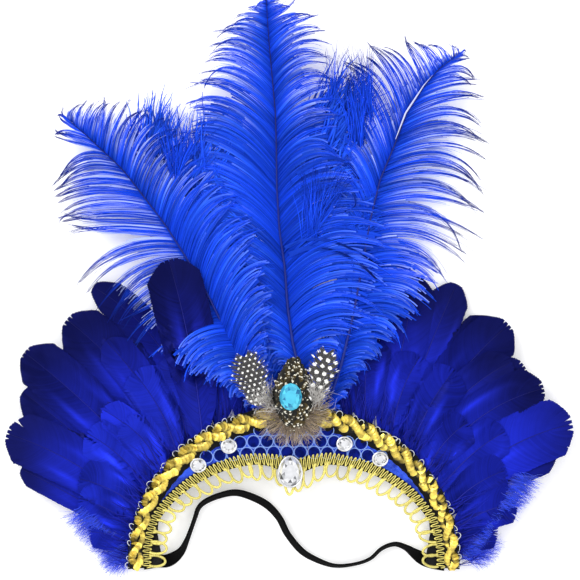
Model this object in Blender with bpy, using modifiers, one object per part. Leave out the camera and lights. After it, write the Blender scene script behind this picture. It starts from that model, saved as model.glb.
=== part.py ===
"""Showgirl feather headdress, lying on its back on a flat surface.

Metres. +Z is up, away from the surface, and +Y points to the tips of the plumes. Everything is drawn on a
sheet whose origin is the centre of the band's arch. The finished headdress is then moved so that the
world origin is the centre of its foot.
"""

import math

import bmesh
import bpy
from mathutils import Matrix, Vector

# Clearances between pieces that touch
CLEARANCE = 0.0003
TRIM_SEAT = 0.0006

# Band: an arch of felt and sequined cloth that goes over the forehead
BAND_HALF_WIDTH = 0.098
BAND_RISE = 0.0905
BAND_DEPTH = 0.031
BAND_END_TURN = 93.0
BAND_CROWN = 0.012
BAND_STATIONS = 36
BROW_FLAT_HALF_WIDTH = 0.016
FELT_THICKNESS = 0.0015
FELT_OUTER_LAP = 0.003
FELT_INNER_LAP = 0.0025
FELT_END_FLARE = 0.009
CLOTH_THICKNESS = 0.0012
CLOTH_OUTER_LAP = 0.004
CLOTH_INNER_LAP = 0.0015
QUILL_ROOM = 0.0082
SEWN_ROOM = 0.0004

# Depth of the band, as a share of BAND_DEPTH, at each share of a quarter turn from the middle
DEPTH_ROWS = (
    # turn, depth
    (0.00, 1.00),
    (0.09, 0.89),
    (0.19, 0.77),
    (0.33, 0.66),
    (0.50, 0.52),
    (0.67, 0.36),
    (0.83, 0.21),
    (1.04, 0.13),
)

# Gold sequin braid
BRAID_WIDTH = 0.0104
BRAID_END_WIDTH = 0.0082
BRAID_HEIGHT = 0.0030
BRAID_LOBES = 34
BRAID_SWAY = 0.0010

# Gimp braid with its fringe of thread loops
GIMP_WIDTH = 0.0048
GIMP_END_WIDTH = 0.0038
GIMP_THICKNESS = 0.0013
LOOP_COUNT = 34
LOOP_LENGTH = 0.0095
LOOP_THREAD = 0.0013
LOOP_GAP = 0.0008

# Stones
ROUND_STONE_WIDTH = 0.0098
ROUND_STONE_HEIGHT = 0.0036
PEAR_STONE_WIDTH = 0.0150
PEAR_STONE_LENGTH = 0.0198
PEAR_STONE_HEIGHT = 0.0058
PEAR_STONE_X = -0.0022
PEAR_STONE_DROP = 0.0035
TURQUOISE_WIDTH = 0.0139
TURQUOISE_LENGTH = 0.0168
TURQUOISE_HEIGHT = 0.0055
TURQUOISE_X = -0.0019
TURQUOISE_DROP = 0.0020
TILT_STEP = 0.0020
MERGE_DISTANCE = 0.0001

# Rosette of small spotted feathers
ROSETTE_WIDTH = 0.0260
ROSETTE_LENGTH = 0.0446
ROSETTE_HEIGHT = 0.0052
ROSETTE_CENTRE_Y = 0.1045
GUINEA_LENGTH = 0.0320
GUINEA_WIDTH = 0.0195
GUINEA_BARE_LENGTH = 0.0015
GUINEA_THICKNESS = 0.0010
GUINEA_LEFT_ROOT = (-0.0185, 0.0975)
GUINEA_RIGHT_ROOT = (0.0145, 0.0985)
TUFT_WIDTH = 0.0520
TUFT_LENGTH = 0.0200
TUFT_THICKNESS = 0.0010
TUFT_HUB_DROP = 0.0120
TUFT_HUB_RADIUS = 0.0040
TUFT_LOCKS = 9

# Elastic strap
STRAP_WIDTH = 0.0080
STRAP_THICKNESS = 0.0012

# Ostrich plumes
PLUME_THICKNESS = 0.0010
PLUME_LIFT = 0.0060
PLUME_PITCH = 0.0021
PLUME_CURL = 0.0260
PLUME_QUILL_WIDTH = 0.0030
PLUME_LOCKS = 17

# Goose feathers of the side fans
FAN_THICKNESS = 0.0007
FAN_PITCH = 0.0012
FAN_CURL = 0.0100
FAN_CURL_START = 0.060
FAN_CURL_SPAN = 0.115
FAN_FREE_SPAN = 0.030
FAN_REACH = 0.1260
FAN_WIDTH = 0.0322
FAN_QUILL_WIDTH = 0.0020
FAN_BARE_LENGTH = 0.0020
ROOT_INSET_SHARE = 0.35
DOWN_THICKNESS = 0.0010
DOWN_LOCKS = 5
DOWN_LENGTH = 0.0440
DOWN_REACH = 0.0230

COLLECTION_NAME = "showgirl_headdress"
BACK_LIFT = STRAP_THICKNESS + CLEARANCE


# Small helpers for numbers


def smooth_step(value):
    value = min(1.0, max(0.0, value))
    return value * value * (3.0 - 2.0 * value)


def mix(low, high, share):
    return low + (high - low) * share


def read_rows(rows, place):
    """The columns after the first of a table, on a smooth curve through its rows."""
    last = len(rows) - 1
    place = min(max(place, rows[0][0]), rows[last][0])
    row = 0
    while row < last - 1 and place > rows[row + 1][0]:
        row += 1
    start, end = rows[row], rows[row + 1]
    before, after = rows[max(row - 1, 0)], rows[min(row + 2, last)]
    span = end[0] - start[0]
    share = (place - start[0]) / span
    found = []
    for column in range(1, len(start)):
        slope_in = (end[column] - before[column]) / (end[0] - before[0]) * span
        slope_out = (after[column] - start[column]) / (after[0] - start[0]) * span
        square, cube = share * share, share * share * share
        found.append(
            start[column] * (2 * cube - 3 * square + 1)
            + slope_in * (cube - 2 * square + share)
            + end[column] * (3 * square - 2 * cube)
            + slope_out * (cube - square)
        )
    return found


# The band's arch and the heights of everything above the surface


def band_depth(turn):
    return BAND_DEPTH * read_rows(DEPTH_ROWS, abs(turn) / 90.0)[0]


def band_point(turn, inset):
    """A point on the sheet: turn in degrees from the middle, inset from the braid's centreline."""
    angle = math.radians(turn)
    x = BAND_HALF_WIDTH * math.sin(angle)
    y = BAND_RISE * math.cos(angle)
    inward = Vector((-x / BAND_HALF_WIDTH**2, -y / BAND_RISE**2)).normalized()
    return Vector((x, y)) + inward * inset


def turn_at(x, y):
    return math.degrees(math.atan2(x / BAND_HALF_WIDTH, y / BAND_RISE))


def ring_at(x, y):
    """1 on the braid's centreline, more outside it."""
    return math.hypot(x / BAND_HALF_WIDTH, y / BAND_RISE)


def outside_at(x, y):
    """About the distance outside the braid's centreline."""
    slope = math.hypot(x / BAND_HALF_WIDTH**2, y / BAND_RISE**2)
    ring = ring_at(x, y)
    return (ring - 1.0) * ring / slope


def crown(x):
    """Height of the felt's underside: the band is highest, and flat, at the brow."""
    share = (abs(x) - BROW_FLAT_HALF_WIDTH) / (BAND_HALF_WIDTH - BROW_FLAT_HALF_WIDTH)
    return BACK_LIFT + BAND_CROWN * (1.0 - smooth_step(share))


def cloth_bottom(turn, inset, x):
    """Underside of the cloth: wide open at the outer edge for the quills, sewn shut at the inner one."""
    share = min(1.0, max(0.0, (inset + CLOTH_OUTER_LAP) / (band_depth(turn) + CLOTH_OUTER_LAP)))
    room = QUILL_ROOM * (1.0 - 0.4 * smooth_step((abs(turn) - 80.0) / 14.0))
    return crown(x) + FELT_THICKNESS + mix(room, SEWN_ROOM, share)


def cloth_top_at(x, y):
    return cloth_bottom(turn_at(x, y), -outside_at(x, y), x) + CLOTH_THICKNESS


def lie(x, y):
    """Height on which all feathers lie: on the felt at the band, near the surface farther out."""
    ring = ring_at(x, y)
    on_felt = crown(x) + FELT_THICKNESS + CLEARANCE
    away = smooth_step((ring - 1.05) / 0.9)
    return mix(on_felt, 2 * CLEARANCE, away)


def fan_height(x, y, layer):
    outside = outside_at(x, y)
    root = ROOT_INSET_SHARE * band_depth(min(BAND_END_TURN, abs(turn_at(x, y))))
    spread = smooth_step((outside + root) / (root + 1.25 * CLOTH_OUTER_LAP))
    curl = FAN_CURL * smooth_step((abs(x) - FAN_CURL_START) / FAN_CURL_SPAN)
    free = smooth_step((outside - CLOTH_OUTER_LAP) / FAN_FREE_SPAN)
    return lie(x, y) + layer * FAN_PITCH * spread + curl * free


def plume_height(x, y, layer):
    ring = ring_at(x, y)
    spread = smooth_step((ring - 0.90) / 0.40)
    lift = PLUME_LIFT * (1.0 - smooth_step((ring - 2.25) / 0.70))
    curl = PLUME_CURL * max(0.0, (ring - 2.8) / 1.0) ** 1.6
    return lie(x, y) + (lift + layer * PLUME_PITCH) * spread + curl


BRAID_TOP = cloth_bottom(0.0, -CLOTH_OUTER_LAP, 0.0) + CLOTH_THICKNESS + TRIM_SEAT + BRAID_HEIGHT
ROSETTE_POINT_Y = ROSETTE_CENTRE_Y + ROSETTE_LENGTH / 2
ROSETTE_FLOOR = max(BRAID_TOP, plume_height(0.0, ROSETTE_POINT_Y, 2) + PLUME_THICKNESS) + CLEARANCE
ROSETTE_BASE = ROSETTE_FLOOR + max(GUINEA_THICKNESS, TUFT_THICKNESS) + CLEARANCE


# Materials and objects


def material(name, colour, roughness, metallic=0.0, alpha=1.0):
    made = bpy.data.materials.new(name)
    made.use_nodes = True
    shader = made.node_tree.nodes["Principled BSDF"]
    shader.inputs["Base Color"].default_value = (*colour, 1.0)
    shader.inputs["Roughness"].default_value = roughness
    shader.inputs["Metallic"].default_value = metallic
    shader.inputs["Alpha"].default_value = alpha
    return made


def add_object(name, mesh, finish, smooth=True):
    made = bpy.data.objects.new(name, mesh)
    bpy.data.collections[COLLECTION_NAME].objects.link(made)
    mesh.materials.append(finish)
    if smooth:
        mesh.shade_smooth()
        mesh.set_sharp_from_angle(angle=math.radians(40))
    return made


def sheet_object(name, points, faces, thickness, finish):
    """An open sheet of points and faces, extruded straight up by its thickness."""
    mesh = bpy.data.meshes.new(name)
    mesh.from_pydata(points, [], faces)
    wall = bmesh.new()
    wall.from_mesh(mesh)
    raised = bmesh.ops.extrude_face_region(wall, geom=wall.faces[:])["geom"]
    top = [item for item in raised if isinstance(item, bmesh.types.BMVert)]
    bmesh.ops.translate(wall, verts=top, vec=(0, 0, thickness))
    bmesh.ops.recalc_face_normals(wall, faces=wall.faces)
    wall.to_mesh(mesh)
    wall.free()
    return add_object(name, mesh, finish)


# The band


def crescent(name, insets_at, height_at, thickness, finish):
    """A curved plate along the band's arch, through the insets that insets_at gives for each turn."""
    points = []
    for step in range(BAND_STATIONS + 1):
        turn = mix(-BAND_END_TURN, BAND_END_TURN, step / BAND_STATIONS)
        insets = insets_at(turn)
        for inset in insets:
            place = band_point(turn, inset)
            points.append((place.x, place.y, height_at(turn, inset, place.x)))
    wide = len(insets)
    faces = [
        (s * wide + r, s * wide + r + 1, (s + 1) * wide + r + 1, (s + 1) * wide + r)
        for s in range(BAND_STATIONS)
        for r in range(wide - 1)
    ]
    return sheet_object(name, points, faces, thickness, finish)


def felt_backing(finish):
    def insets_at(turn):
        flare = FELT_END_FLARE * smooth_step((abs(turn) - 70.0) / 20.0)
        return -FELT_OUTER_LAP, band_depth(turn) + FELT_INNER_LAP + flare

    def height_at(turn, inset, x):
        return crown(x)

    return crescent("felt_backing", insets_at, height_at, FELT_THICKNESS, finish)


def sequin_cloth(finish):
    def insets_at(turn):
        return -CLOTH_OUTER_LAP, band_depth(turn), band_depth(turn) + CLOTH_INNER_LAP

    return crescent("sequin_cloth", insets_at, cloth_bottom, CLOTH_THICKNESS, finish)


# Profile of one lobe of the gold braid, along its length: (share, width, height, sway)
LOBE_ROWS = (
    # share, width, height, sway
    (0.00, 0.66, 0.55, 0.0),
    (0.33, 0.96, 1.00, 1.0),
    (0.67, 1.00, 0.80, 0.6),
)

# Cross-section of the braid: (across, up)
BRAID_SECTION = ((-1.0, 0.3), (-0.55, 1.0), (0.55, 1.0), (1.0, 0.3), (0.6, 0.0), (-0.6, 0.0))


def braid_width(turn):
    return mix(BRAID_WIDTH, BRAID_END_WIDTH, smooth_step(abs(turn) / 90.0))


def gimp_edges(turn):
    """Insets of the gimp's outer and inner edge: clear of the gold braid, where the band is narrow."""
    width = mix(GIMP_WIDTH, GIMP_END_WIDTH, smooth_step(abs(turn) / 90.0))
    outer = max(band_depth(turn) - width / 2, braid_width(turn) / 2 + BRAID_SWAY / 2 + CLEARANCE)
    return outer, max(band_depth(turn) + width / 2, outer + GIMP_END_WIDTH / 2)


def gold_braid(finish):
    sections = []
    for lobe in range(BRAID_LOBES):
        side = 1 if lobe % 2 else -1
        for share, width, height, sway in LOBE_ROWS:
            turn = mix(-BAND_END_TURN, BAND_END_TURN, (lobe + share) / BRAID_LOBES)
            shift = side * sway * BRAID_SWAY
            half = braid_width(turn) / 2 * width - abs(shift) * 0.5
            sections.append((turn, shift, half, height * BRAID_HEIGHT))
    sections.append((BAND_END_TURN, 0.0, BRAID_END_WIDTH * 0.33, BRAID_HEIGHT * 0.55))
    points = []
    for turn, shift, half, height in sections:
        for across, up in BRAID_SECTION:
            inset = shift + across * half
            place = band_point(turn, inset)
            base = cloth_bottom(turn, inset, place.x) + CLOTH_THICKNESS + TRIM_SEAT
            points.append((place.x, place.y, base + up * height))
    return loft("gold_braid", points, len(BRAID_SECTION), finish)


def loft(name, points, ring, finish):
    """A solid through rings of points, closed at both ends."""
    count = len(points) // ring
    faces = []
    for step in range(count - 1):
        for corner in range(ring):
            after = (corner + 1) % ring
            low, high = step * ring, (step + 1) * ring
            faces.append((low + corner, low + after, high + after, high + corner))
    faces.append(tuple(range(ring)))
    faces.append(tuple(range((count - 1) * ring, count * ring)))
    mesh = bpy.data.meshes.new(name)
    mesh.from_pydata(points, [], faces)
    check = bmesh.new()
    check.from_mesh(mesh)
    bmesh.ops.recalc_face_normals(check, faces=check.faces)
    check.to_mesh(mesh)
    check.free()
    return add_object(name, mesh, finish)


def gimp_braid(finish):
    """The gimp and its loops are one sheet: a strip whose inner edge carries a row of open U shapes."""
    points = []
    faces = []

    def add(turn, inset):
        place = band_point(turn, inset)
        height = cloth_bottom(turn, min(inset, band_depth(turn)), place.x)
        points.append((place.x, place.y, height + CLOTH_THICKNESS + TRIM_SEAT))
        return len(points) - 1

    pitch = 2 * BAND_END_TURN / LOOP_COUNT
    edge = []
    for loop in range(LOOP_COUNT):
        start = -BAND_END_TURN + loop * pitch
        middle = start + pitch / 2
        inset = gimp_edges(middle)[1]
        length = (band_point(start + pitch, inset) - band_point(start, inset)).length
        half = (0.5 - 0.5 * LOOP_GAP / length) * pitch
        thread = LOOP_THREAD / length * pitch
        marks = [middle - half, middle - half + thread, middle + half - thread, middle + half]
        columns = []
        for turn in marks:
            outer, inner = gimp_edges(turn)
            columns.append((add(turn, outer), add(turn, inner)))
        edge.append(columns)
        for left, right in zip(columns, columns[1:]):
            faces.append((left[0], right[0], right[1], left[1]))
        faces.extend(loop_faces(add, middle, half, thread, length / pitch, columns))
    for before, after in zip(edge, edge[1:]):
        faces.append((before[3][0], after[0][0], after[0][1], before[3][1]))
    return sheet_object("gimp_braid", points, faces, GIMP_THICKNESS, finish)


def loop_faces(add, middle, half, thread, scale, columns):
    """One U of thread below the gimp: outer and inner edges, a quarter turn at a time."""
    top = gimp_edges(middle)[1]
    radius = half * scale
    straight = LOOP_LENGTH - radius
    outer = [columns[0][1]]
    inner = [columns[1][1]]
    for angle in (180.0, 120.0, 60.0, 0.0):
        c, s = math.cos(math.radians(angle)), math.sin(math.radians(angle))
        outer.append(add(middle + c * half, top + straight + s * radius))
        inner.append(add(middle + c * (half - thread), top + straight + s * (radius - thread * scale)))
    outer.append(columns[3][1])
    inner.append(columns[2][1])
    return [(outer[i], outer[i + 1], inner[i + 1], inner[i]) for i in range(len(outer) - 1)]


# Stones: each is a turned profile with a flat back, a girdle, crown facets and a table


STONE_PROFILE = (
    # radius, height
    (0.00, 1.00),
    (0.52, 1.00),
    (0.82, 0.66),
    (1.00, 0.28),
    (0.92, 0.00),
    (0.00, 0.00),
)


def stone(name, place, width, length, height, facets, narrowing, finish):
    points = [(radius, 0.0, up) for radius, up in STONE_PROFILE]
    mesh = bpy.data.meshes.new(name)
    mesh.from_pydata(points, [(i, i + 1) for i in range(len(points) - 1)], [])
    made = add_object(name, mesh, finish, smooth=False)
    turned = made.modifiers.new("turned", "SCREW")
    turned.steps = turned.render_steps = facets
    turned.use_merge_vertices = True
    turned.merge_threshold = MERGE_DISTANCE
    turned.use_normal_calculate = True
    turned.use_smooth_shade = False
    mesh = bpy.data.meshes.new_from_object(made.evaluated_get(bpy.context.evaluated_depsgraph_get()))
    made.modifiers.clear()
    made.data = mesh
    for vertex in mesh.vertices:
        side, along, up = vertex.co
        vertex.co = (side * width / 2 * (1.0 + narrowing * along), along * length / 2, up * height)
    tilt = surface_tilt(place.x, place.y) if place.z == 0.0 else Matrix.Identity(4)
    seat = place.z or cloth_top_at(place.x, place.y) + TRIM_SEAT
    made.matrix_world = Matrix.Translation((place.x, place.y, seat)) @ tilt
    return made


def surface_tilt(x, y):
    """The turn that lays a flat back on the sloping cloth."""
    slope_x = (cloth_top_at(x + TILT_STEP, y) - cloth_top_at(x - TILT_STEP, y)) / (2 * TILT_STEP)
    slope_y = (cloth_top_at(x, y + TILT_STEP) - cloth_top_at(x, y - TILT_STEP)) / (2 * TILT_STEP)
    normal = Vector((-slope_x, -slope_y, 1.0)).normalized()
    return Vector((0, 0, 1)).rotation_difference(normal).to_matrix().to_4x4()


ROUND_STONE_PLACES = (
    # turn, inset as a share of the band's depth
    (-41.8, 0.57),
    (-26.8, 0.46),
    (21.0, 0.52),
    (37.1, 0.55),
)


def stones(clear, turquoise):
    for number, (turn, share) in enumerate(ROUND_STONE_PLACES, 1):
        place = band_point(turn, share * band_depth(turn))
        width = ROUND_STONE_WIDTH
        spot = Vector((place.x, place.y, 0.0))
        stone(f"round_stone_{number}", spot, width, width, ROUND_STONE_HEIGHT, 10, 0.0, clear)
    pear_y = BAND_RISE - BAND_DEPTH - PEAR_STONE_DROP
    gimp_top = cloth_bottom(0.0, gimp_edges(0.0)[0], 0.0) + CLOTH_THICKNESS + TRIM_SEAT + GIMP_THICKNESS
    pear = Vector((PEAR_STONE_X, pear_y, gimp_top + CLEARANCE))
    stone("pear_stone", pear, PEAR_STONE_WIDTH, PEAR_STONE_LENGTH, PEAR_STONE_HEIGHT, 12, -0.12, clear)
    top = ROSETTE_BASE + ROSETTE_HEIGHT
    oval = Vector((TURQUOISE_X, ROSETTE_CENTRE_Y - TURQUOISE_DROP, top + CLEARANCE))
    stone("turquoise_stone", oval, TURQUOISE_WIDTH, TURQUOISE_LENGTH, TURQUOISE_HEIGHT, 12, 0.0, turquoise)


# Feathers with a smooth vane


GOOSE_ROWS = (
    # along the vane, half width
    (0.00, 0.08),
    (0.08, 0.62),
    (0.26, 0.92),
    (0.56, 1.00),
    (0.80, 0.90),
    (0.94, 0.60),
    (1.00, 0.22),
)

GUINEA_ROWS = (
    # along the vane, half width
    (0.00, 0.28),
    (0.22, 0.66),
    (0.53, 1.00),
    (0.79, 0.86),
    (0.95, 0.46),
    (1.00, 0.14),
)


def vane(name, root, aim, reach, bare, bow, width, rows, quill, height_at, thickness, finish):
    """A feather: a bowed spine with a vane on both sides, above the bare part of its quill.

    aim is in degrees from +Y, to the right."""
    along = Vector((math.sin(math.radians(aim)), math.cos(math.radians(aim))))
    across = Vector((along.y, -along.x))
    points = []
    stations = [(0.0, rows[0][1])] + [(mix(bare / reach, 1.0, share), half) for share, half in rows]
    for place, half in stations:
        spine = root + along * reach * place + across * bow * reach * 4 * place * (1 - place)
        lean = (along + across * bow * 4 * (1 - 2 * place)).normalized()
        side = Vector((lean.y, -lean.x))
        rib = min(quill / 2, half * width / 4)
        for offset in (-half * width / 2, -rib, rib, half * width / 2):
            spot = spine + side * offset
            points.append((spot.x, spot.y, height_at(spot.x, spot.y)))
    faces = [
        (r * 4 + c, r * 4 + c + 1, (r + 1) * 4 + c + 1, (r + 1) * 4 + c)
        for r in range(len(rows))
        for c in range(3)
    ]
    return sheet_object(name, points, faces, thickness, finish)


# Side fans. turn: where the quill leaves the band. reach and width: shares of FAN_REACH and FAN_WIDTH.
# aim: degrees to the outside of +Y. bow: how far the spine bends, as a share of its reach.
# layer: place in the pile, 0 at the bottom.
LEFT_FAN = (
    # turn, reach, aim, bow, width, layer
    (38.0, 0.98, 11.0, -0.05, 0.80, 0),
    (46.0, 1.00, 28.0, -0.17, 0.58, 1),
    (52.0, 0.94, 36.0, -0.11, 0.93, 2),
    (48.0, 0.74, 32.0, -0.08, 0.66, 4),
    (60.0, 0.97, 46.0, -0.06, 0.89, 3),
    (58.0, 0.49, 40.0, -0.14, 0.58, 6),
    (66.0, 0.86, 48.0, 0.00, 0.70, 1),
    (75.0, 0.81, 58.0, -0.11, 1.00, 5),
    (82.0, 0.69, 60.0, -0.05, 0.66, 2),
)

RIGHT_FAN = (
    # turn, reach, aim, bow, width, layer
    (36.0, 0.89, 13.0, -0.02, 0.85, 1),
    (42.0, 0.93, 21.0, -0.04, 0.70, 0),
    (48.0, 0.88, 37.0, -0.09, 0.92, 2),
    (54.0, 0.75, 40.0, -0.14, 0.70, 4),
    (60.0, 0.77, 50.0, -0.16, 0.85, 5),
    (72.0, 0.79, 56.0, -0.15, 1.00, 6),
    (74.0, 0.65, 60.0, -0.09, 0.58, 3),
    (80.0, 0.46, 46.0, 0.00, 0.50, 4),
    (89.5, 0.28, 48.0, -0.10, 0.58, 2),
)


def fan(side_name, side, rows, finish):
    for number, (turn, reach, aim, bow, width, layer) in enumerate(rows, 1):
        root = band_point(side * turn, ROOT_INSET_SHARE * band_depth(turn))

        def height_at(x, y, layer=layer):
            return fan_height(x, y, layer)

        vane(
            f"fan_{side_name}_{number}",
            root,
            side * aim,
            reach * FAN_REACH,
            ROOT_INSET_SHARE * band_depth(turn) + CLOTH_OUTER_LAP + FAN_BARE_LENGTH,
            side * bow,
            width * FAN_WIDTH,
            GOOSE_ROWS,
            FAN_QUILL_WIDTH,
            height_at,
            FAN_THICKNESS,
            finish,
        )


# Plumes and tufts: sheets whose edges are cut into curling locks


LOCK_STEPS = (0.0, 0.28, 0.52, 0.72, 0.88)
JOINED_STEPS = 2


def barb(root, tip, lean, share):
    """A point on a barb that leaves its root along lean and bends over to its tip."""
    knee = root + (tip - root) * 0.45 + lean
    return root * (1 - share) ** 2 + knee * 2 * share * (1 - share) + tip * share**2


def side_of_locks(points, faces, paths, lift, last_line=None):
    """Locks along one side. paths holds 2 n + 1 barbs: edge, tip, edge and so on. lift gives heights.

    Neighbouring locks share their edge up to JOINED_STEPS and taper to their own tips beyond it.
    last_line is the last edge, where another side has already made it. Returns the last edge."""

    def add(place):
        points.append((place.x, place.y, lift(place.x, place.y)))
        return len(points) - 1

    shared = []
    for edge in paths[::2]:
        if edge is paths[-1] and last_line:
            shared.append(last_line)
        else:
            shared.append([edge["start"]] + [add(edge["at"](s)) for s in LOCK_STEPS[1 : JOINED_STEPS + 1]])
    for number, middle in enumerate(paths[1::2]):
        low, high = shared[number], shared[number + 1]
        low_edge, high_edge = paths[2 * number], paths[2 * number + 2]
        for step in range(JOINED_STEPS):
            faces.append((low[step], low[step + 1], high[step + 1], high[step]))
        left, right = low[JOINED_STEPS], high[JOINED_STEPS]
        for share in LOCK_STEPS[JOINED_STEPS + 1 :]:
            closing = 0.12 + 0.88 * ((share - LOCK_STEPS[JOINED_STEPS]) / (1 - LOCK_STEPS[JOINED_STEPS])) ** 1.2
            spine = middle["at"](share)
            next_left = add(low_edge["at"](share).lerp(spine, closing))
            next_right = add(high_edge["at"](share).lerp(spine, closing))
            faces.append((left, next_left, next_right, right))
            left, right = next_left, next_right
        faces.append((left, add(middle["at"](1.0)), right))
    return shared[-1]


PLUME_LEFT = {
    "name": "plume_left",
    "root": (-0.0048, 0.0812),
    "length": 0.2340,
    "aim": -35.0,
    "reach": 0.0670,
    "layer": 2,
    "arch": 0.10,
}
PLUME_LEFT_ROWS = (
    # along, bend, left out, left up, right out, right up
    (0.00, 0.000, 0.00, 0.00, 0.00, 0.00),
    (0.17, 0.000, 0.28, 0.04, 0.30, 0.04),
    (0.24, -0.010, 0.49, 0.02, 0.56, 0.06),
    (0.33, -0.024, 0.66, 0.01, 0.72, 0.07),
    (0.42, -0.037, 0.82, 0.00, 0.80, 0.09),
    (0.53, -0.046, 1.00, 0.06, 0.77, 0.08),
    (0.63, -0.050, 0.96, 0.10, 0.69, 0.07),
    (0.72, -0.046, 0.80, 0.12, 0.63, 0.07),
    (0.81, -0.042, 0.57, 0.11, 0.60, 0.09),
    (0.88, -0.028, 0.36, 0.10, 0.45, 0.09),
    (0.95, -0.013, 0.18, 0.08, 0.26, 0.06),
    (1.00, 0.000, 0.00, 0.04, 0.00, 0.04),
)

PLUME_MIDDLE = {
    "name": "plume_middle",
    "root": (0.0069, 0.0812),
    "length": 0.2664,
    "aim": -5.1,
    "reach": 0.0710,
    "layer": 1,
    "arch": 0.16,
}
PLUME_MIDDLE_ROWS = (
    # along, bend, left out, left up, right out, right up
    (0.00, 0.000, 0.00, 0.00, 0.00, 0.00),
    (0.14, 0.000, 0.26, 0.04, 0.34, 0.02),
    (0.20, 0.010, 0.42, 0.05, 0.76, 0.01),
    (0.29, 0.015, 0.55, 0.08, 1.00, 0.02),
    (0.38, 0.013, 0.68, 0.10, 1.00, 0.03),
    (0.47, 0.018, 0.75, 0.13, 0.84, 0.05),
    (0.57, 0.015, 0.80, 0.14, 0.68, 0.05),
    (0.66, 0.008, 0.77, 0.13, 0.61, 0.05),
    (0.74, 0.003, 0.72, 0.10, 0.58, 0.05),
    (0.83, 0.003, 0.58, 0.08, 0.55, 0.05),
    (0.90, 0.003, 0.42, 0.06, 0.44, 0.05),
    (0.96, 0.002, 0.22, 0.04, 0.24, 0.04),
    (1.00, 0.000, 0.00, 0.02, 0.00, 0.02),
)

PLUME_RIGHT = {
    "name": "plume_right",
    "root": (0.0150, 0.0812),
    "length": 0.2480,
    "aim": 20.8,
    "reach": 0.0690,
    "layer": 0,
    "arch": 0.14,
}
PLUME_RIGHT_ROWS = (
    # along, bend, left out, left up, right out, right up
    (0.00, 0.000, 0.00, 0.00, 0.00, 0.00),
    (0.17, 0.004, 0.24, 0.04, 0.26, 0.04),
    (0.30, 0.020, 0.37, 0.08, 0.56, 0.03),
    (0.42, 0.042, 0.46, 0.11, 0.76, 0.03),
    (0.54, 0.065, 0.53, 0.10, 0.98, 0.03),
    (0.64, 0.077, 0.62, 0.12, 1.00, 0.07),
    (0.73, 0.074, 0.72, 0.15, 0.83, 0.09),
    (0.82, 0.074, 0.60, 0.12, 0.63, 0.09),
    (0.90, 0.056, 0.42, 0.08, 0.43, 0.07),
    (0.96, 0.034, 0.28, 0.05, 0.22, 0.05),
    (1.00, 0.000, 0.00, 0.03, 0.00, 0.03),
)


def plume(sizes, rows, locks, thickness, quill_width, lift, finish):
    """A plume: a quill, then locks on both sides that meet at the tip."""
    aim = math.radians(sizes["aim"])
    up = Vector((math.sin(aim), math.cos(aim)))
    left = Vector((-up.y, up.x))
    root = Vector(sizes["root"])
    length, reach, arch = sizes["length"], sizes["reach"], sizes["arch"]
    first = rows[1][0]

    def read(share):
        bend, left_out, left_up, right_out, right_up = read_rows(rows, share)
        spine = root + up * share * length + left * bend * length
        return spine, ((left_out, left_up), (right_out, right_up))

    points, faces = [], []

    def add(place):
        points.append((place.x, place.y, lift(place.x, place.y)))
        return len(points) - 1

    def path(share, side, start):
        spine, reaches = read(share)
        out, rise = reaches[side]
        way = left if side == 0 else -left
        base = spine + way * quill_width / 2 * (1 - share)
        tip = base + way * out * reach + up * rise * length
        lean = up * arch * out * reach
        return {"start": start, "at": lambda s: barb(base, tip, lean, s)}

    shares = [mix(first, 1.0, n / (2 * locks)) for n in range(2 * locks + 1)]
    quill_steps = 3
    spine_line = []
    for n in range(quill_steps):
        share = first * n / quill_steps
        centre = read(share)[0]
        spine_line.append([add(centre + left * quill_width / 2), add(centre - left * quill_width / 2)])
    for share in shares[:-1:2]:
        centre = read(share)[0]
        half = quill_width / 2 * (1 - share)
        spine_line.append([add(centre + left * half), add(centre - left * half)])
    for low, high in zip(spine_line, spine_line[1:]):
        faces.append((low[0], low[1], high[1], high[0]))
    tip = add(read(1.0)[0])
    faces.append((spine_line[-1][0], spine_line[-1][1], tip))
    starts = spine_line[quill_steps:] + [[tip, tip]]
    last_line = None
    for side in (0, 1):
        paths = []
        for n, share in enumerate(shares):
            paths.append(path(share, side, starts[n // 2][side]))
        last_line = side_of_locks(points, faces, paths, lift, last_line)
    return sheet_object(sizes["name"], points, faces, thickness, finish)


def plumes(finish):
    for sizes, rows in (
        (PLUME_LEFT, PLUME_LEFT_ROWS),
        (PLUME_MIDDLE, PLUME_MIDDLE_ROWS),
        (PLUME_RIGHT, PLUME_RIGHT_ROWS),
    ):

        def lift(x, y, layer=sizes["layer"]):
            return plume_height(x, y, layer)

        plume(sizes, rows, PLUME_LOCKS, PLUME_THICKNESS, PLUME_QUILL_WIDTH, lift, finish)


# Down at the foot of each fan
DOWN_ROWS = (
    # along, bend, left out, left up, right out, right up
    (0.00, 0.000, 0.00, 0.00, 0.00, 0.00),
    (0.10, 0.000, 0.70, 0.16, 0.70, 0.16),
    (0.50, 0.000, 1.00, 0.22, 1.00, 0.22),
    (1.00, 0.000, 0.00, 0.10, 0.00, 0.10),
)


def down(side_name, side, turn, aim, finish):
    root = band_point(side * turn, -FELT_OUTER_LAP - 2 * CLEARANCE)
    sizes = {
        "name": f"down_{side_name}",
        "root": (root.x, root.y),
        "length": DOWN_LENGTH,
        "aim": side * aim,
        "reach": DOWN_REACH,
        "arch": 0.1,
    }

    def lift(x, y):
        return 2 * CLEARANCE

    return plume(sizes, DOWN_ROWS, DOWN_LOCKS, DOWN_THICKNESS, FAN_QUILL_WIDTH, lift, finish)


# The rosette


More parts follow.
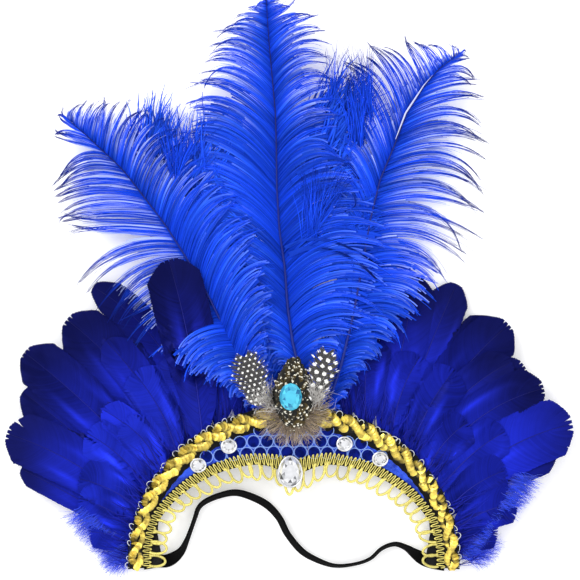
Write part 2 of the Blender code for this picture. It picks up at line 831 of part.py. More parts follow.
def rosette_pad(finish):
    """A domed teardrop of overlapping small feathers, point up."""
    mesh = bpy.data.meshes.new("rosette_pad")
    ball = bmesh.new()
    bmesh.ops.create_uvsphere(ball, u_segments=16, v_segments=8, radius=1.0)
    base = ROSETTE_BASE
    for vertex in ball.verts:
        side, along, up = vertex.co
        narrowing = 1.0 - 0.45 * max(0.0, along) ** 1.5
        vertex.co = (
            side * narrowing * ROSETTE_WIDTH / 2,
            along * ROSETTE_LENGTH / 2 + ROSETTE_CENTRE_Y,
            base + max(0.0, up) ** 0.8 * ROSETTE_HEIGHT,
        )
    low = [face for face in ball.faces if all(vertex.co.z - base < 1e-9 for vertex in face.verts)]
    bmesh.ops.delete(ball, geom=low, context="FACES")
    loose = [vertex for vertex in ball.verts if not vertex.link_faces]
    bmesh.ops.delete(ball, geom=loose, context="VERTS")
    rim = [edge for edge in ball.edges if edge.is_boundary]
    bmesh.ops.contextual_create(ball, geom=rim)
    bmesh.ops.recalc_face_normals(ball, faces=ball.faces)
    ball.to_mesh(mesh)
    ball.free()
    return add_object("rosette_pad", mesh, finish)


def guinea_feathers(finish):
    for name, root, aim, bow in (
        ("guinea_feather_left", GUINEA_LEFT_ROOT, -24.0, 0.02),
        ("guinea_feather_right", GUINEA_RIGHT_ROOT, 8.0, -0.02),
    ):
        vane(
            name,
            Vector(root),
            aim,
            GUINEA_LENGTH,
            GUINEA_BARE_LENGTH,
            bow,
            GUINEA_WIDTH,
            GUINEA_ROWS,
            FAN_QUILL_WIDTH,
            lambda x, y: ROSETTE_FLOOR,
            GUINEA_THICKNESS,
            finish,
        )


def down_tuft(finish):
    """Locks of down that hang from under the rosette over the gold braid."""
    hub = Vector((0.0, ROSETTE_CENTRE_Y - TUFT_HUB_DROP))
    points, faces = [], []

    def lift(x, y):
        return ROSETTE_FLOOR

    paths = []
    for n in range(2 * TUFT_LOCKS + 1):
        angle = math.radians(mix(-108.0, 108.0, n / (2 * TUFT_LOCKS)))
        way = Vector((math.sin(angle), -math.cos(angle)))
        start = hub + way * TUFT_HUB_RADIUS
        tip = hub + Vector((way.x * TUFT_WIDTH / 2, way.y * TUFT_LENGTH))
        if n % 2 == 0:
            points.append((start.x, start.y, ROSETTE_FLOOR))
        paths.append(
            {"start": len(points) - 1, "at": lambda s, start=start, tip=tip: start.lerp(tip, s)}
        )
    faces.append(tuple(range(TUFT_LOCKS + 1)))
    side_of_locks(points, faces, paths, lift)
    return sheet_object("down_tuft", points, faces, TUFT_THICKNESS, finish)


# The strap


STRAP_ROUTE = (
    # x, y on the sheet, as shares of BAND_HALF_WIDTH, and the strap's tilt in degrees
    (-0.955, -0.020, 0.0),
    (-0.865, -0.006, 0.0),
    (-0.808, -0.004, 5.0),
    (-0.756, 0.021, 34.0),
    (-0.708, 0.067, 60.0),
    (-0.676, 0.133, 74.0),
    (-0.650, 0.202, 78.0),
    (-0.625, 0.272, 78.0),
    (-0.604, 0.331, 75.0),
    (-0.562, 0.372, 70.0),
    (-0.475, 0.410, 67.0),
    (-0.372, 0.430, 63.0),
    (-0.272, 0.405, 60.0),
    (-0.169, 0.351, 59.0),
    (-0.093, 0.269, 63.0),
    (-0.040, 0.167, 65.0),
    (0.046, 0.063, 64.0),
    (0.140, 0.006, 68.0),
    (0.254, -0.032, 75.0),
    (0.374, -0.025, 78.0),
    (0.481, 0.010, 78.0),
    (0.558, 0.076, 76.0),
    (0.640, 0.104, 72.0),
    (0.710, 0.082, 66.0),
    (0.762, 0.047, 46.0),
    (0.826, 0.006, 6.0),
    (0.877, -0.012, 0.0),
    (0.960, -0.028, 0.0),
)


def elastic_strap(finish):
    """A flat strip that lies in an S. It leans where it bends, with its lower edge on the surface."""
    points = []
    last = len(STRAP_ROUTE) - 1
    for number, (x, y, tilt) in enumerate(STRAP_ROUTE):
        before = STRAP_ROUTE[max(number - 1, 0)]
        after = STRAP_ROUTE[min(number + 1, last)]
        along = Vector((after[0] - before[0], after[1] - before[1])).normalized()
        side = Vector((-along.y, along.x))
        centre = Vector((x, y)) * BAND_HALF_WIDTH
        lean = math.radians(tilt)
        half_w, half_t = STRAP_WIDTH / 2, STRAP_THICKNESS / 2
        middle = half_w * math.sin(lean) + half_t * math.cos(lean)
        for w, t in ((-1, -1), (1, -1), (1, 1), (-1, 1)):
            out = w * half_w * math.cos(lean) - t * half_t * math.sin(lean)
            up = w * half_w * math.sin(lean) + t * half_t * math.cos(lean)
            spot = centre + side * out
            points.append((spot.x, spot.y, middle + up))
    return loft("elastic_strap", points, 4, finish)


def move_origin_to_foot(parts):
    """Moves all parts so that the world origin is the centre of the foot of their common box."""
    bpy.context.view_layer.update()
    graph = bpy.context.evaluated_depsgraph_get()
    low = Vector((math.inf, math.inf, math.inf))
    high = -low
    for part in parts:
        seen = part.evaluated_get(graph)
        for vertex in seen.data.vertices:
            place = seen.matrix_world @ vertex.co
            low = Vector(map(min, low, place))
            high = Vector(map(max, high, place))
    shift = Vector(((low.x + high.x) / 2, (low.y + high.y) / 2, low.z))
    for part in parts:
        part.location = part.location - shift


def main():
    for old in list(bpy.data.objects):
        bpy.data.objects.remove(old)
    collection = bpy.data.collections.new(COLLECTION_NAME)
    bpy.context.scene.collection.children.link(collection)

    black_felt = material("black_felt", (0.01, 0.01, 0.012), 0.95)
    royal_cloth = material("royal_sequin_cloth", (0.02, 0.06, 0.75), 0.35, 0.3)
    gold = material("gold_sequins", (0.85, 0.60, 0.10), 0.28, 0.9)
    pale_gold = material("pale_gold_thread", (0.80, 0.66, 0.12), 0.50, 0.4)
    clear = material("clear_stone", (0.90, 0.92, 0.95), 0.05)
    turquoise = material("turquoise_stone", (0.02, 0.45, 0.75), 0.08)
    spotted = material("spotted_feather", (0.16, 0.14, 0.08), 0.75)
    guinea = material("guinea_feather", (0.05, 0.05, 0.06), 0.75)
    tan_down = material("tan_down", (0.40, 0.30, 0.20), 0.90)
    royal_plume = material("royal_ostrich", (0.02, 0.08, 0.80), 0.80)
    navy = material("navy_goose", (0.008, 0.01, 0.25), 0.45)
    pale_down = material("pale_blue_down", (0.10, 0.18, 0.85), 0.90)
    elastic = material("black_elastic", (0.006, 0.006, 0.007), 0.80)

    felt_backing(black_felt)
    sequin_cloth(royal_cloth)
    gold_braid(gold)
    gimp_braid(pale_gold)
    stones(clear, turquoise)
    rosette_pad(spotted)
    guinea_feathers(guinea)
    down_tuft(tan_down)
    plumes(royal_plume)
    fan("left", -1, LEFT_FAN, navy)
    fan("right", 1, RIGHT_FAN, navy)
    down("left", -1, 83.0, 84.0, pale_down)
    down("right", 1, 85.0, 84.0, pale_down)
    elastic_strap(elastic)
    move_origin_to_foot(collection.objects)


main()
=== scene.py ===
import math

import bpy
import numpy as np
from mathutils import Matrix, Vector
from mathutils.bvhtree import BVHTree


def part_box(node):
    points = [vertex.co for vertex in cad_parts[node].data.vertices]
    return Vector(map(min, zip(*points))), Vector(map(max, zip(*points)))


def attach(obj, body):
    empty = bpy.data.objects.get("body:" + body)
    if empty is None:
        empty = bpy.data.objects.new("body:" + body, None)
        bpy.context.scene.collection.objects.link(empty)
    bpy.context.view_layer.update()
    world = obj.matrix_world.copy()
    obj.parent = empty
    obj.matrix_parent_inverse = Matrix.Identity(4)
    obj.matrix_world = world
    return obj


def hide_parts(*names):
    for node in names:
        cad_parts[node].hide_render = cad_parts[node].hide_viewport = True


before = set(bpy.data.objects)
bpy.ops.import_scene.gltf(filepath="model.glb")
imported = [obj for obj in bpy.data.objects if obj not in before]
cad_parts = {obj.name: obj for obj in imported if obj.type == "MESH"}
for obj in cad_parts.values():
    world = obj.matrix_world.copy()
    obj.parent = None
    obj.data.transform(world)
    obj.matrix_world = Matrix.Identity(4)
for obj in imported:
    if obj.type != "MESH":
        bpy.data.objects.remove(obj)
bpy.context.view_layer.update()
print("frame loaded:", len(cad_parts), "nodes")

# Metres. +Z is up, towards the camera, and +Y points to the tips of the plumes.

upward = np.array((0.0, 0.0, 1.0))


# Numbers


def unit(vectors):
    return vectors / np.maximum(np.linalg.norm(vectors, axis=-1, keepdims=True), 1e-12)


def smoothStep(values):
    values = np.clip(values, 0.0, 1.0)
    return values * values * (3.0 - 2.0 * values)


def readRows(rows, places):
    # the columns after the first of a table, at each place
    table = np.array(rows, float)
    return [np.interp(places, table[:, 0], table[:, column]) for column in range(1, table.shape[1])]


def direction(degrees):
    # a unit vector that many degrees from +Y, to the right
    angle = np.radians(degrees)
    return np.stack((np.sin(angle), np.cos(angle)), axis=-1)


def bezier(start, knee, end, share):
    share = share[..., None]
    return start * (1 - share) ** 2 + knee * 2 * share * (1 - share) + end * share**2


# Heights are read from the frame's own surfaces


def surfaceOf(*names):
    points, faces = [], []
    for name in names:
        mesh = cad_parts[name].data
        first = len(points)
        points.extend(vertex.co[:] for vertex in mesh.vertices)
        faces.extend([first + index for index in face.vertices] for face in mesh.polygons)
    return BVHTree.FromPolygons(points, faces)


def heightsOn(surface, spots):
    flat = spots.reshape(-1, 2)
    found = np.empty(len(flat))
    for number, (x, y) in enumerate(flat):
        hit = surface.ray_cast(Vector((x, y, 1.0)), Vector((0, 0, -1)))[0]
        if hit is None:
            hit = surface.find_nearest(Vector((x, y, 0.01)))[0]
        found[number] = hit.z
    return found.reshape(spots.shape[:-1])


def raised(spots, heights):
    return np.concatenate((spots, heights[..., None]), axis=-1)


# The band's arch, as in the CAD model

band = {
    "halfWidth": 0.098,
    "rise": 0.0905,
    "depth": 0.031,
    "endTurn": 93.0,
    "stoneFromCentre": (-0.0019, 0.1025),  # the turquoise stone, from the centre of the arch
    "depthRows": (  # turn as a share of 90 degrees, depth as a share
        (0.00, 1.00), (0.09, 0.89), (0.19, 0.77), (0.33, 0.66),
        (0.50, 0.52), (0.67, 0.36), (0.83, 0.21), (1.04, 0.13),
    ),
}

stoneMiddle = sum(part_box("turquoise_stone"), Vector()) / 2
archCentre = np.array(stoneMiddle[:2]) - np.array(band["stoneFromCentre"])


def bandDepth(turn):
    return band["depth"] * readRows(band["depthRows"], np.abs(turn) / 90.0)[0]


def bandSpot(turn, inset):
    # turn in degrees from the top of the arch, inset from the gold braid's centreline
    turn, inset = np.broadcast_arrays(np.asarray(turn, float), np.asarray(inset, float))
    angle = np.radians(turn)
    spot = np.stack((band["halfWidth"] * np.sin(angle), band["rise"] * np.cos(angle)), axis=-1)
    inward = unit(-spot / np.array((band["halfWidth"], band["rise"])) ** 2)
    return spot + inward * inset[..., None] + archCentre


def sheetSpot(x, y):
    # x and y in millimetres from the centre of the arch
    return np.array((x, y), float) / 1000 + archCentre


clothSurface = surfaceOf("sequin_cloth")


def onCloth(turn, inset, lift):
    spots = bandSpot(turn, inset)
    inside = bandSpot(turn, np.clip(inset, -0.0035, bandDepth(turn) + 0.001))
    return raised(spots, heightsOn(clothSurface, inside) + lift)


# Meshes made of many strips or tubes


def newSheet():
    return {"points": [], "faces": [], "values": {}, "count": 0}


def addFaces(sheet, points, faces, **values):
    # values are one number for each point
    points = np.asarray(points, float).reshape(-1, 3)
    sheet["points"].append(points)
    sheet["faces"].extend([[corner + sheet["count"] for corner in face] for face in faces])
    sheet["count"] += len(points)
    for name, numbers in values.items():
        numbers = np.broadcast_to(np.asarray(numbers, float), (len(points),))
        sheet["values"].setdefault(name, []).append(numbers)


def addRibbons(sheet, paths, widths, roll, **values):
    # paths: strips, stations, xyz; roll turns each strip about its own length, in radians
    strips, stations = paths.shape[:2]
    along = unit(np.gradient(paths, axis=1))
    side = unit(np.cross(along, upward))
    lift = np.cross(side, along)
    roll = np.broadcast_to(roll, (strips, stations))[..., None]
    widths = np.broadcast_to(widths, (strips, stations))[..., None]
    half = (side * np.cos(roll) + lift * np.sin(roll)) * widths / 2
    points = np.stack((paths - half, paths + half), axis=2)
    first = np.arange(strips)[:, None] * stations * 2 + np.arange(stations - 1)[None] * 2
    faces = np.stack((first, first + 1, first + 3, first + 2), axis=-1).reshape(-1, 4)
    spread = {
        name: np.repeat(np.broadcast_to(numbers, (strips, stations)).reshape(-1), 2)
        for name, numbers in values.items()
    }
    addFaces(sheet, points, faces.tolist(), **spread)


def addTubes(sheet, paths, radii, sides=6, flatten=1.0, closed=False, **values):
    # flatten squashes the tubes in height
    tubes, stations = paths.shape[:2]
    if closed:
        along = unit(np.roll(paths, -1, axis=1) - np.roll(paths, 1, axis=1))
    else:
        along = unit(np.gradient(paths, axis=1))
    side = unit(np.cross(along, upward))
    lift = np.cross(side, along)
    turn = np.arange(sides) * 2 * math.pi / sides
    ring = side[:, :, None] * np.cos(turn)[:, None] + lift[:, :, None] * np.sin(turn)[:, None] * flatten
    points = paths[:, :, None] + ring * np.broadcast_to(radii, (tubes, stations))[..., None, None]
    number = np.arange(tubes * stations * sides).reshape(tubes, stations, sides)
    low = number if closed else number[:, :-1]
    high = np.roll(number, -1, axis=1) if closed else number[:, 1:]
    corners = np.stack((low, np.roll(low, -1, 2), np.roll(high, -1, 2), high), axis=-1)
    faces = corners.reshape(-1, 4).tolist()
    if not closed:
        faces += number[:, 0, ::-1].tolist() + number[:, -1].tolist()
    spread = {
        name: np.repeat(np.broadcast_to(numbers, (tubes, stations)).reshape(-1), sides)
        for name, numbers in values.items()
    }
    addFaces(sheet, points, faces, **spread)


def gridFaces(rows, columns, wrap=False):
    # four corners each, row by row; wrap joins a row's last point to its first
    number = np.arange(rows * columns).reshape(rows, columns)
    beside = np.roll(number, -1, axis=1)
    corners = np.stack((number[:-1], beside[:-1], beside[1:], number[1:]), axis=-1)
    if not wrap:
        corners = corners[:, :-1]
    return corners.reshape(-1, 4).tolist()


def fanFaces(spokes):
    # from the first point, the middle of a disc, to the ring of points after it
    return [[0, 1 + spoke, 1 + (spoke + 1) % spokes] for spoke in range(spokes)]


def smoothRoute(rows, steps):
    # a curve through the rows, by cubic pieces
    rows = np.array(rows, float)
    slopes = np.gradient(rows, axis=0)
    place = np.linspace(0, len(rows) - 1, steps)
    low = np.minimum(place.astype(int), len(rows) - 2)
    t = (place - low)[:, None]
    return (
        rows[low] * (2 * t**3 - 3 * t**2 + 1) + slopes[low] * (t**3 - 2 * t**2 + t)
        + rows[low + 1] * (3 * t**2 - 2 * t**3) + slopes[low + 1] * (t**3 - t**2)
    )


def addPiece(name, sheet, finish, replaces=(), smooth=True, faceReflections=None):
    mesh = bpy.data.meshes.new(name)
    mesh.from_pydata(np.concatenate(sheet["points"]).tolist(), [], sheet["faces"])
    for label, numbers in sheet["values"].items():
        mesh.attributes.new(label, "FLOAT", "POINT").data.foreach_set("value", np.concatenate(numbers))
    if faceReflections is not None:
        mesh.attributes.new("facet", "FLOAT", "FACE").data.foreach_set("value", faceReflections)
    if smooth:
        mesh.shade_smooth()
    mesh.materials.append(finish)
    piece = bpy.data.objects.new(name, mesh)
    bpy.context.scene.collection.objects.link(piece)
    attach(piece, "root")
    if replaces:
        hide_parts(*replaces)
    return piece


# Shader groups: each effect is built once and placed in the materials that use it


def newGroup(name, inputs, outputs):
    group = bpy.data.node_groups.new(name, "ShaderNodeTree")
    for label, kind, value in inputs:
        group.interface.new_socket(label, in_out="INPUT", socket_type=kind).default_value = value
    for label, kind in outputs:
        group.interface.new_socket(label, in_out="OUTPUT", socket_type=kind)
    return group, group.nodes.new("NodeGroupInput").outputs, group.nodes.new("NodeGroupOutput").inputs


def mathOf(tree, operation, *values, clamp=False):
    node = tree.nodes.new("ShaderNodeMath")
    node.operation = operation
    node.use_clamp = clamp
    for socket, value in zip(node.inputs, values):
        if isinstance(value, (int, float)):
            socket.default_value = value
        else:
            tree.links.new(value, socket)
    return node.outputs[0]


def stepOf(tree, value, start, end):
    # smoothly 0 before start, 1 after end
    node = tree.nodes.new("ShaderNodeMapRange")
    node.interpolation_type = "SMOOTHSTEP"
    for label, item in (("Value", value), ("From Min", start), ("From Max", end)):
        if isinstance(item, (int, float)):
            node.inputs[label].default_value = item
        else:
            tree.links.new(item, node.inputs[label])
    return node.outputs[0]


def mixOf(tree, share, first, second, blend="MIX"):
    node = tree.nodes.new("ShaderNodeMix")
    node.data_type = "RGBA"
    node.blend_type = blend
    for socket, item in ((node.inputs[0], share), (node.inputs[6], first), (node.inputs[7], second)):
        if isinstance(item, bpy.types.NodeSocket):
            tree.links.new(item, socket)
        else:
            socket.default_value = item if isinstance(item, (int, float)) else (*item, 1.0)
    return node.outputs[2]


def attributeOf(tree, name):
    node = tree.nodes.new("ShaderNodeAttribute")
    node.attribute_name = name
    return node.outputs["Fac"]


def noiseOf(tree, scale, detail=2.0, stretch=(1.0, 1.0, 1.0)):
    place = tree.nodes.new("ShaderNodeTexCoord").outputs["Object"]
    node = tree.nodes.new("ShaderNodeTexNoise")
    node.inputs["Detail"].default_value = detail
    if stretch != (1.0, 1.0, 1.0):
        mapping = tree.nodes.new("ShaderNodeMapping")
        mapping.inputs["Scale"].default_value = stretch
        tree.links.new(place, mapping.inputs[0])
        place = mapping.outputs[0]
    tree.links.new(place, node.inputs["Vector"])
    if isinstance(scale, (int, float)):
        node.inputs["Scale"].default_value = scale
    else:
        tree.links.new(scale, node.inputs["Scale"])
    return node.outputs["Fac"]


def brightened(tree, colour, value):
    node = tree.nodes.new("ShaderNodeHueSaturation")
    tree.links.new(value, node.inputs["Value"])
    tree.links.new(colour, node.inputs["Color"])
    return node.outputs[0]


def makeStrandTint():
    # feather barbs: three colours along each barb, and a tone of its own
    group, given, out = newGroup(
        "strandTint",
        (
            ("Root", "NodeSocketColor", (0, 0, 0, 1)),
            ("Body", "NodeSocketColor", (0, 0, 0, 1)),
            ("Tip", "NodeSocketColor", (0, 0, 0, 1)),
            ("Root End", "NodeSocketFloat", 0.3),
            ("Tip Start", "NodeSocketFloat", 0.7),
            ("Variation", "NodeSocketFloat", 0.4),
        ),
        (("Color", "NodeSocketColor"), ("Roughness", "NodeSocketFloat")),
    )
    along, tone = attributeOf(group, "along"), attributeOf(group, "tone")
    lower = mixOf(group, stepOf(group, along, 0.0, given["Root End"]), given["Root"], given["Body"])
    whole = mixOf(group, stepOf(group, along, given["Tip Start"], 1.0), lower, given["Tip"])
    swing = mathOf(group, "MULTIPLY", mathOf(group, "SUBTRACT", tone, 0.5), given["Variation"])
    mottle = mathOf(group, "MULTIPLY", mathOf(group, "SUBTRACT", noiseOf(group, 160.0), 0.5), 0.25)
    value = mathOf(group, "ADD", 1.0, mathOf(group, "ADD", swing, mottle))
    group.links.new(brightened(group, whole, value), out["Color"])
    group.links.new(mathOf(group, "MULTIPLY_ADD", tone, 0.2, 0.4), out["Roughness"])
    return group


def makeFibreGrain():
    # fine crossed threads over loose fibres
    group, given, out = newGroup(
        "fibreGrain",
        (("Scale", "NodeSocketFloat", 1500.0), ("Thread", "NodeSocketFloat", 0.5)),
        (("Height", "NodeSocketFloat"), ("Shade", "NodeSocketFloat")),
    )
    place = group.nodes.new("ShaderNodeTexCoord").outputs["Object"]
    threads = []
    for axis in ("X", "Y"):
        wave = group.nodes.new("ShaderNodeTexWave")
        wave.bands_direction = axis
        group.links.new(place, wave.inputs["Vector"])
        group.links.new(given["Scale"], wave.inputs["Scale"])
        wave.inputs["Distortion"].default_value = 1.5
        threads.append(wave.outputs["Fac"])
    cloth = mathOf(group, "MULTIPLY", threads[0], threads[1])
    fibres = noiseOf(group, given["Scale"], 4.0)
    height = mathOf(
        group, "ADD", mathOf(group, "MULTIPLY", cloth, given["Thread"]),
        mathOf(group, "MULTIPLY", fibres, mathOf(group, "SUBTRACT", 1.0, given["Thread"])),
    )
    group.links.new(height, out["Height"])
    group.links.new(stepOf(group, height, 0.1, 0.8), out["Shade"])
    return group


def makeFoilCreaseShade():
    # foil and metal thread: bright faces, brown creases of painted shade, fine crumple
    group, given, out = newGroup(
        "foilCreaseShade",
        (
            ("Bright", "NodeSocketColor", (1, 1, 1, 1)),
            ("Crease", "NodeSocketColor", (0, 0, 0, 1)),
            ("Scale", "NodeSocketFloat", 200.0),
            ("Amount", "NodeSocketFloat", 0.5),
        ),
        (("Color", "NodeSocketColor"), ("Roughness", "NodeSocketFloat"), ("Height", "NodeSocketFloat")),
    )
    tone = attributeOf(group, "tone")
    coarse = noiseOf(group, given["Scale"], 3.0)
    # painted shade: patches of the darker crease colour where the noise is high
    creaseShadeMask = mathOf(group, "MULTIPLY", stepOf(group, coarse, 0.5, 0.72), given["Amount"])
    mixed = mixOf(group, creaseShadeMask, given["Bright"], given["Crease"])
    # tone lightens or darkens the colour; on the gold braid it carries painted shade
    value = mathOf(group, "MULTIPLY_ADD", mathOf(group, "SUBTRACT", tone, 0.5), 0.9, 1.0)
    group.links.new(brightened(group, mixed, value), out["Color"])
    group.links.new(mathOf(group, "MULTIPLY_ADD", coarse, 0.35, 0.12), out["Roughness"])
    group.links.new(coarse, out["Height"])
    return group


def makeFacetReflectionTint():
    # cut stones: each facet has its own share of two colours, as painted reflections and painted shade
    group, given, out = newGroup(
        "facetReflectionTint",
        (("Dark", "NodeSocketColor", (0, 0, 0, 1)), ("Light", "NodeSocketColor", (1, 1, 1, 1))),
        (("Color", "NodeSocketColor"),),
    )
    cloud = mathOf(group, "MULTIPLY", mathOf(group, "SUBTRACT", noiseOf(group, 300.0), 0.5), 0.4)
    share = mathOf(group, "ADD", attributeOf(group, "facet"), cloud, clamp=True)
    group.links.new(mixOf(group, share, given["Dark"], given["Light"]), out["Color"])
    return group


groups = {
    "strandTint": makeStrandTint(),
    "fibreGrain": makeFibreGrain(),
    "foilCreaseShade": makeFoilCreaseShade(),
    "facetReflectionTint": makeFacetReflectionTint(),
}


def newFinish(name, **sockets):
    # sockets are constants on the shader itself, such as Roughness=0.5 or Sheen_Weight=0.3
    finish = bpy.data.materials.new(name)
    finish.use_nodes = True
    shader = finish.node_tree.nodes["Principled BSDF"]
    for label, value in sockets.items():
        shader.inputs[label.replace("_", " ")].default_value = value
    return finish, finish.node_tree, shader.inputs


def placeGroup(tree, name, **values):
    node = tree.nodes.new("ShaderNodeGroup")
    node.node_tree = groups[name]
    for label, value in values.items():
        if isinstance(value, tuple):
            value = (*value, 1.0)
        node.inputs[label.replace("_", " ")].default_value = value
    return node.outputs


def addBump(tree, shader, height, strength, distance):
    bump = tree.nodes.new("ShaderNodeBump")
    bump.inputs["Strength"].default_value = strength
    bump.inputs["Distance"].default_value = distance
    tree.links.new(height, bump.inputs["Height"])
    tree.links.new(bump.outputs["Normal"], shader["Normal"])


def featherFinish(name, colours, rootEnd, tipStart, variation, **sockets):
    finish, tree, shader = newFinish(name, **sockets)
    tint = placeGroup(
        tree, "strandTint", Root=colours[0], Body=colours[1], Tip=colours[2],
        Root_End=rootEnd, Tip_Start=tipStart, Variation=variation,
    )
    tree.links.new(tint["Color"], shader["Base Color"])
    tree.links.new(tint["Roughness"], shader["Roughness"])
    return finish


bumpDepth = {"foil": 0.0005, "fibre": 0.0003}


def foilFinish(name, bright, creaseShade, scale, amount, bump, **sockets):
    finish, tree, shader = newFinish(name, **sockets)
    foil = placeGroup(tree, "foilCreaseShade", Bright=bright, Crease=creaseShade, Scale=scale, Amount=amount)
    tree.links.new(foil["Color"], shader["Base Color"])
    tree.links.new(foil["Roughness"], shader["Roughness"])
    addBump(tree, shader, foil["Height"], bump, bumpDepth["foil"])
    return finish


def fibreFinish(name, dark, light, scale, thread, bump, **sockets):
    finish, tree, shader = newFinish(name, **{"Specular_IOR_Level": 0.15, **sockets})
    grain = placeGroup(tree, "fibreGrain", Scale=scale, Thread=thread)
    tree.links.new(mixOf(tree, grain["Shade"], dark, light), shader["Base Color"])
    addBump(tree, shader, grain["Height"], bump, bumpDepth["fibre"])
    return finish


def stoneFinish(name, dark, light, **sockets):
    finish, tree, shader = newFinish(name, **sockets)
    tree.links.new(placeGroup(tree, "facetReflectionTint", Dark=dark, Light=light)["Color"], shader["Base Color"])
    return finish


print("shader groups made")


# Tufts of soft strands

tuftLook = {
    "stations": 9,
    "wave": 9.0,  # radians from root to tip
    "waveWidth": 0.0008,
    "arch": 0.003,  # the most that a strand stands off between its ends
    "narrowing": 0.75,
    "toneScatter": 0.3,
    "rollScatter": 0.5,
}


def drawnTaut(heights):
    # a strand runs straight from one high place of what it lies on to the next
    count = heights.shape[1]
    taut = heights.copy()
    for first in range(count - 2):
        for last in range(first + 2, count):
            share = np.arange(1, last - first) / (last - first)
            line = heights[:, first, None] * (1 - share) + heights[:, last, None] * share
            taut[:, first + 1:last] = np.maximum(taut[:, first + 1:last], line)
    return taut


def addTuft(sheet, root, aims, lengths, surface, lift, width, rng, curl, fade=1.0):
    # strands that lie on a surface, aims in degrees from +Y
    look = tuftLook
    strands = len(aims)
    travel = np.broadcast_to(np.linspace(0.0, 1.0, look["stations"]), (strands, look["stations"]))
    way = direction(aims)
    across = np.stack((way[:, 1], -way[:, 0]), axis=-1)
    bend = rng.normal(0.0, curl, strands)[:, None, None]
    heading = way[:, None] + across[:, None] * bend * travel[..., None]
    spots = root + heading * (travel * lengths[:, None])[..., None]
    wave = np.sin(travel * look["wave"] + rng.uniform(0, 6, strands)[:, None]) * look["waveWidth"] * travel
    spots = spots + across[:, None] * wave[..., None]
    arch = look["arch"] * np.sin(math.pi * travel) * rng.random(strands)[:, None]
    rise = np.maximum(drawnTaut(heightsOn(surface, spots)) + lift + arch, width)
    widths = width * (1.0 - look["narrowing"] * travel)
    tone = 0.5 + rng.normal(0, look["toneScatter"], strands)
    roll = rng.normal(0, look["rollScatter"], strands)[:, None]
    addRibbons(sheet, raised(spots, rise), widths, roll, along=travel * fade, tone=tone[:, None])


def addTufts(sheet, rows, kind, surface, rng):
    # rows: root in millimetres from the centre of the arch, aims, length, strands
    for spot, aimRange, length, count in rows:
        root = sheetSpot(*spot) + rng.normal(0, kind["scatter"], (count, 1, 2))
        aims, lengths = rng.uniform(*aimRange, count), length * rng.uniform(kind["shortest"], 1.0, count)
        lift, width, curl, fade = kind["lift"], kind["width"], kind["curl"], kind["fade"]
        addTuft(sheet, root, aims, lengths, surface, lift, width, rng, curl, fade)


# Ostrich plumes

# widths at the root and at the tip; clump: how closely a lock's barbs gather; stray: how many leave it
# openReach: how much shorter they are where locks stand apart; fill: how much wider where they don't
# fade: where the root's colour ends and the tip's starts; paler: how much it follows the plume's "pale"
plumeLook = {
    "locks": 54,  # locks of barbs on each side
    "lockReach": (0.97, 0.75, 1.08),  # usual, least and most, as shares of the plume's outline
    "lockScatter": {"wispOut": 0.06, "out": 0.07, "rise": 0.004, "arch": 0.06, "tone": 0.12},
    "stations": 14,
    "barbReach": (0.98, 0.05),  # usual and scatter
    "barbRise": 0.006,
    "thickness": 0.0024,
    "archHeight": 0.0015,
    "lowest": 0.0010,  # above the floor
    "quillRadius": 0.0010,
    "quillLift": 0.0015,
    # a painted highlight on the right plume: a pale line beside the quill
    "highlightRadius": 0.00060,
    "highlightLift": 0.0019,
    "highlightShift": 0.0008,  # of the highlight line, to the left of the quill
    "curl": 0.0045,
    "droop": 0.0035,
    "wave": (5, 11),  # radians from root to tip
    "waveWidth": 0.0005,
    "narrowing": (1.15, 0.8),  # how soon a barb narrows, and how sharply
    "closedFade": 0.40,  # how much of the fade shows where the locks are closed
    "toneScatter": 0.16,
    "rollScatter": 0.35,
    "web": {  # the soft film of barbules that fills each lock
        "strands": 24, "widths": (0.0012, 0.00010), "clump": 0.45, "reach": (0.32, 0.92),
        "lift": 0.0, "stray": 0.0, "openReach": 0.17, "fill": 0.00080, "paler": 1.0,
        "fade": (0.30, 0.22),
        "colours": ((0.006, 0.050, 0.66), (0.020, 0.105, 0.84), (0.42, 0.50, 0.97)),
    },
    "spine": {  # the darker barbs that carry it
        "strands": 10, "widths": (0.00045, 0.00024), "clump": 0.94, "reach": (0.78, 1.0),
        "lift": 0.0012, "stray": 0.03, "openReach": 0.0, "fill": 0.0, "paler": 0.0,
        "fade": (0.30, 0.55),
        "colours": ((0.004, 0.040, 0.55), (0.010, 0.065, 0.74), (0.003, 0.008, 0.15)),
    },
    "under": {  # a sparse layer below, which closes what would show between them
        "strands": 8, "widths": (0.0022, 0.0004), "clump": 0.2, "reach": (0.50, 0.84),
        "lift": -0.0012, "stray": 0.0, "openReach": 0.75, "fill": 0.0014, "paler": 0.0,
        "fade": (0.30, 0.50),
        "colours": ((0.004, 0.034, 0.46), (0.008, 0.052, 0.58), (0.020, 0.10, 0.74)),
    },
}

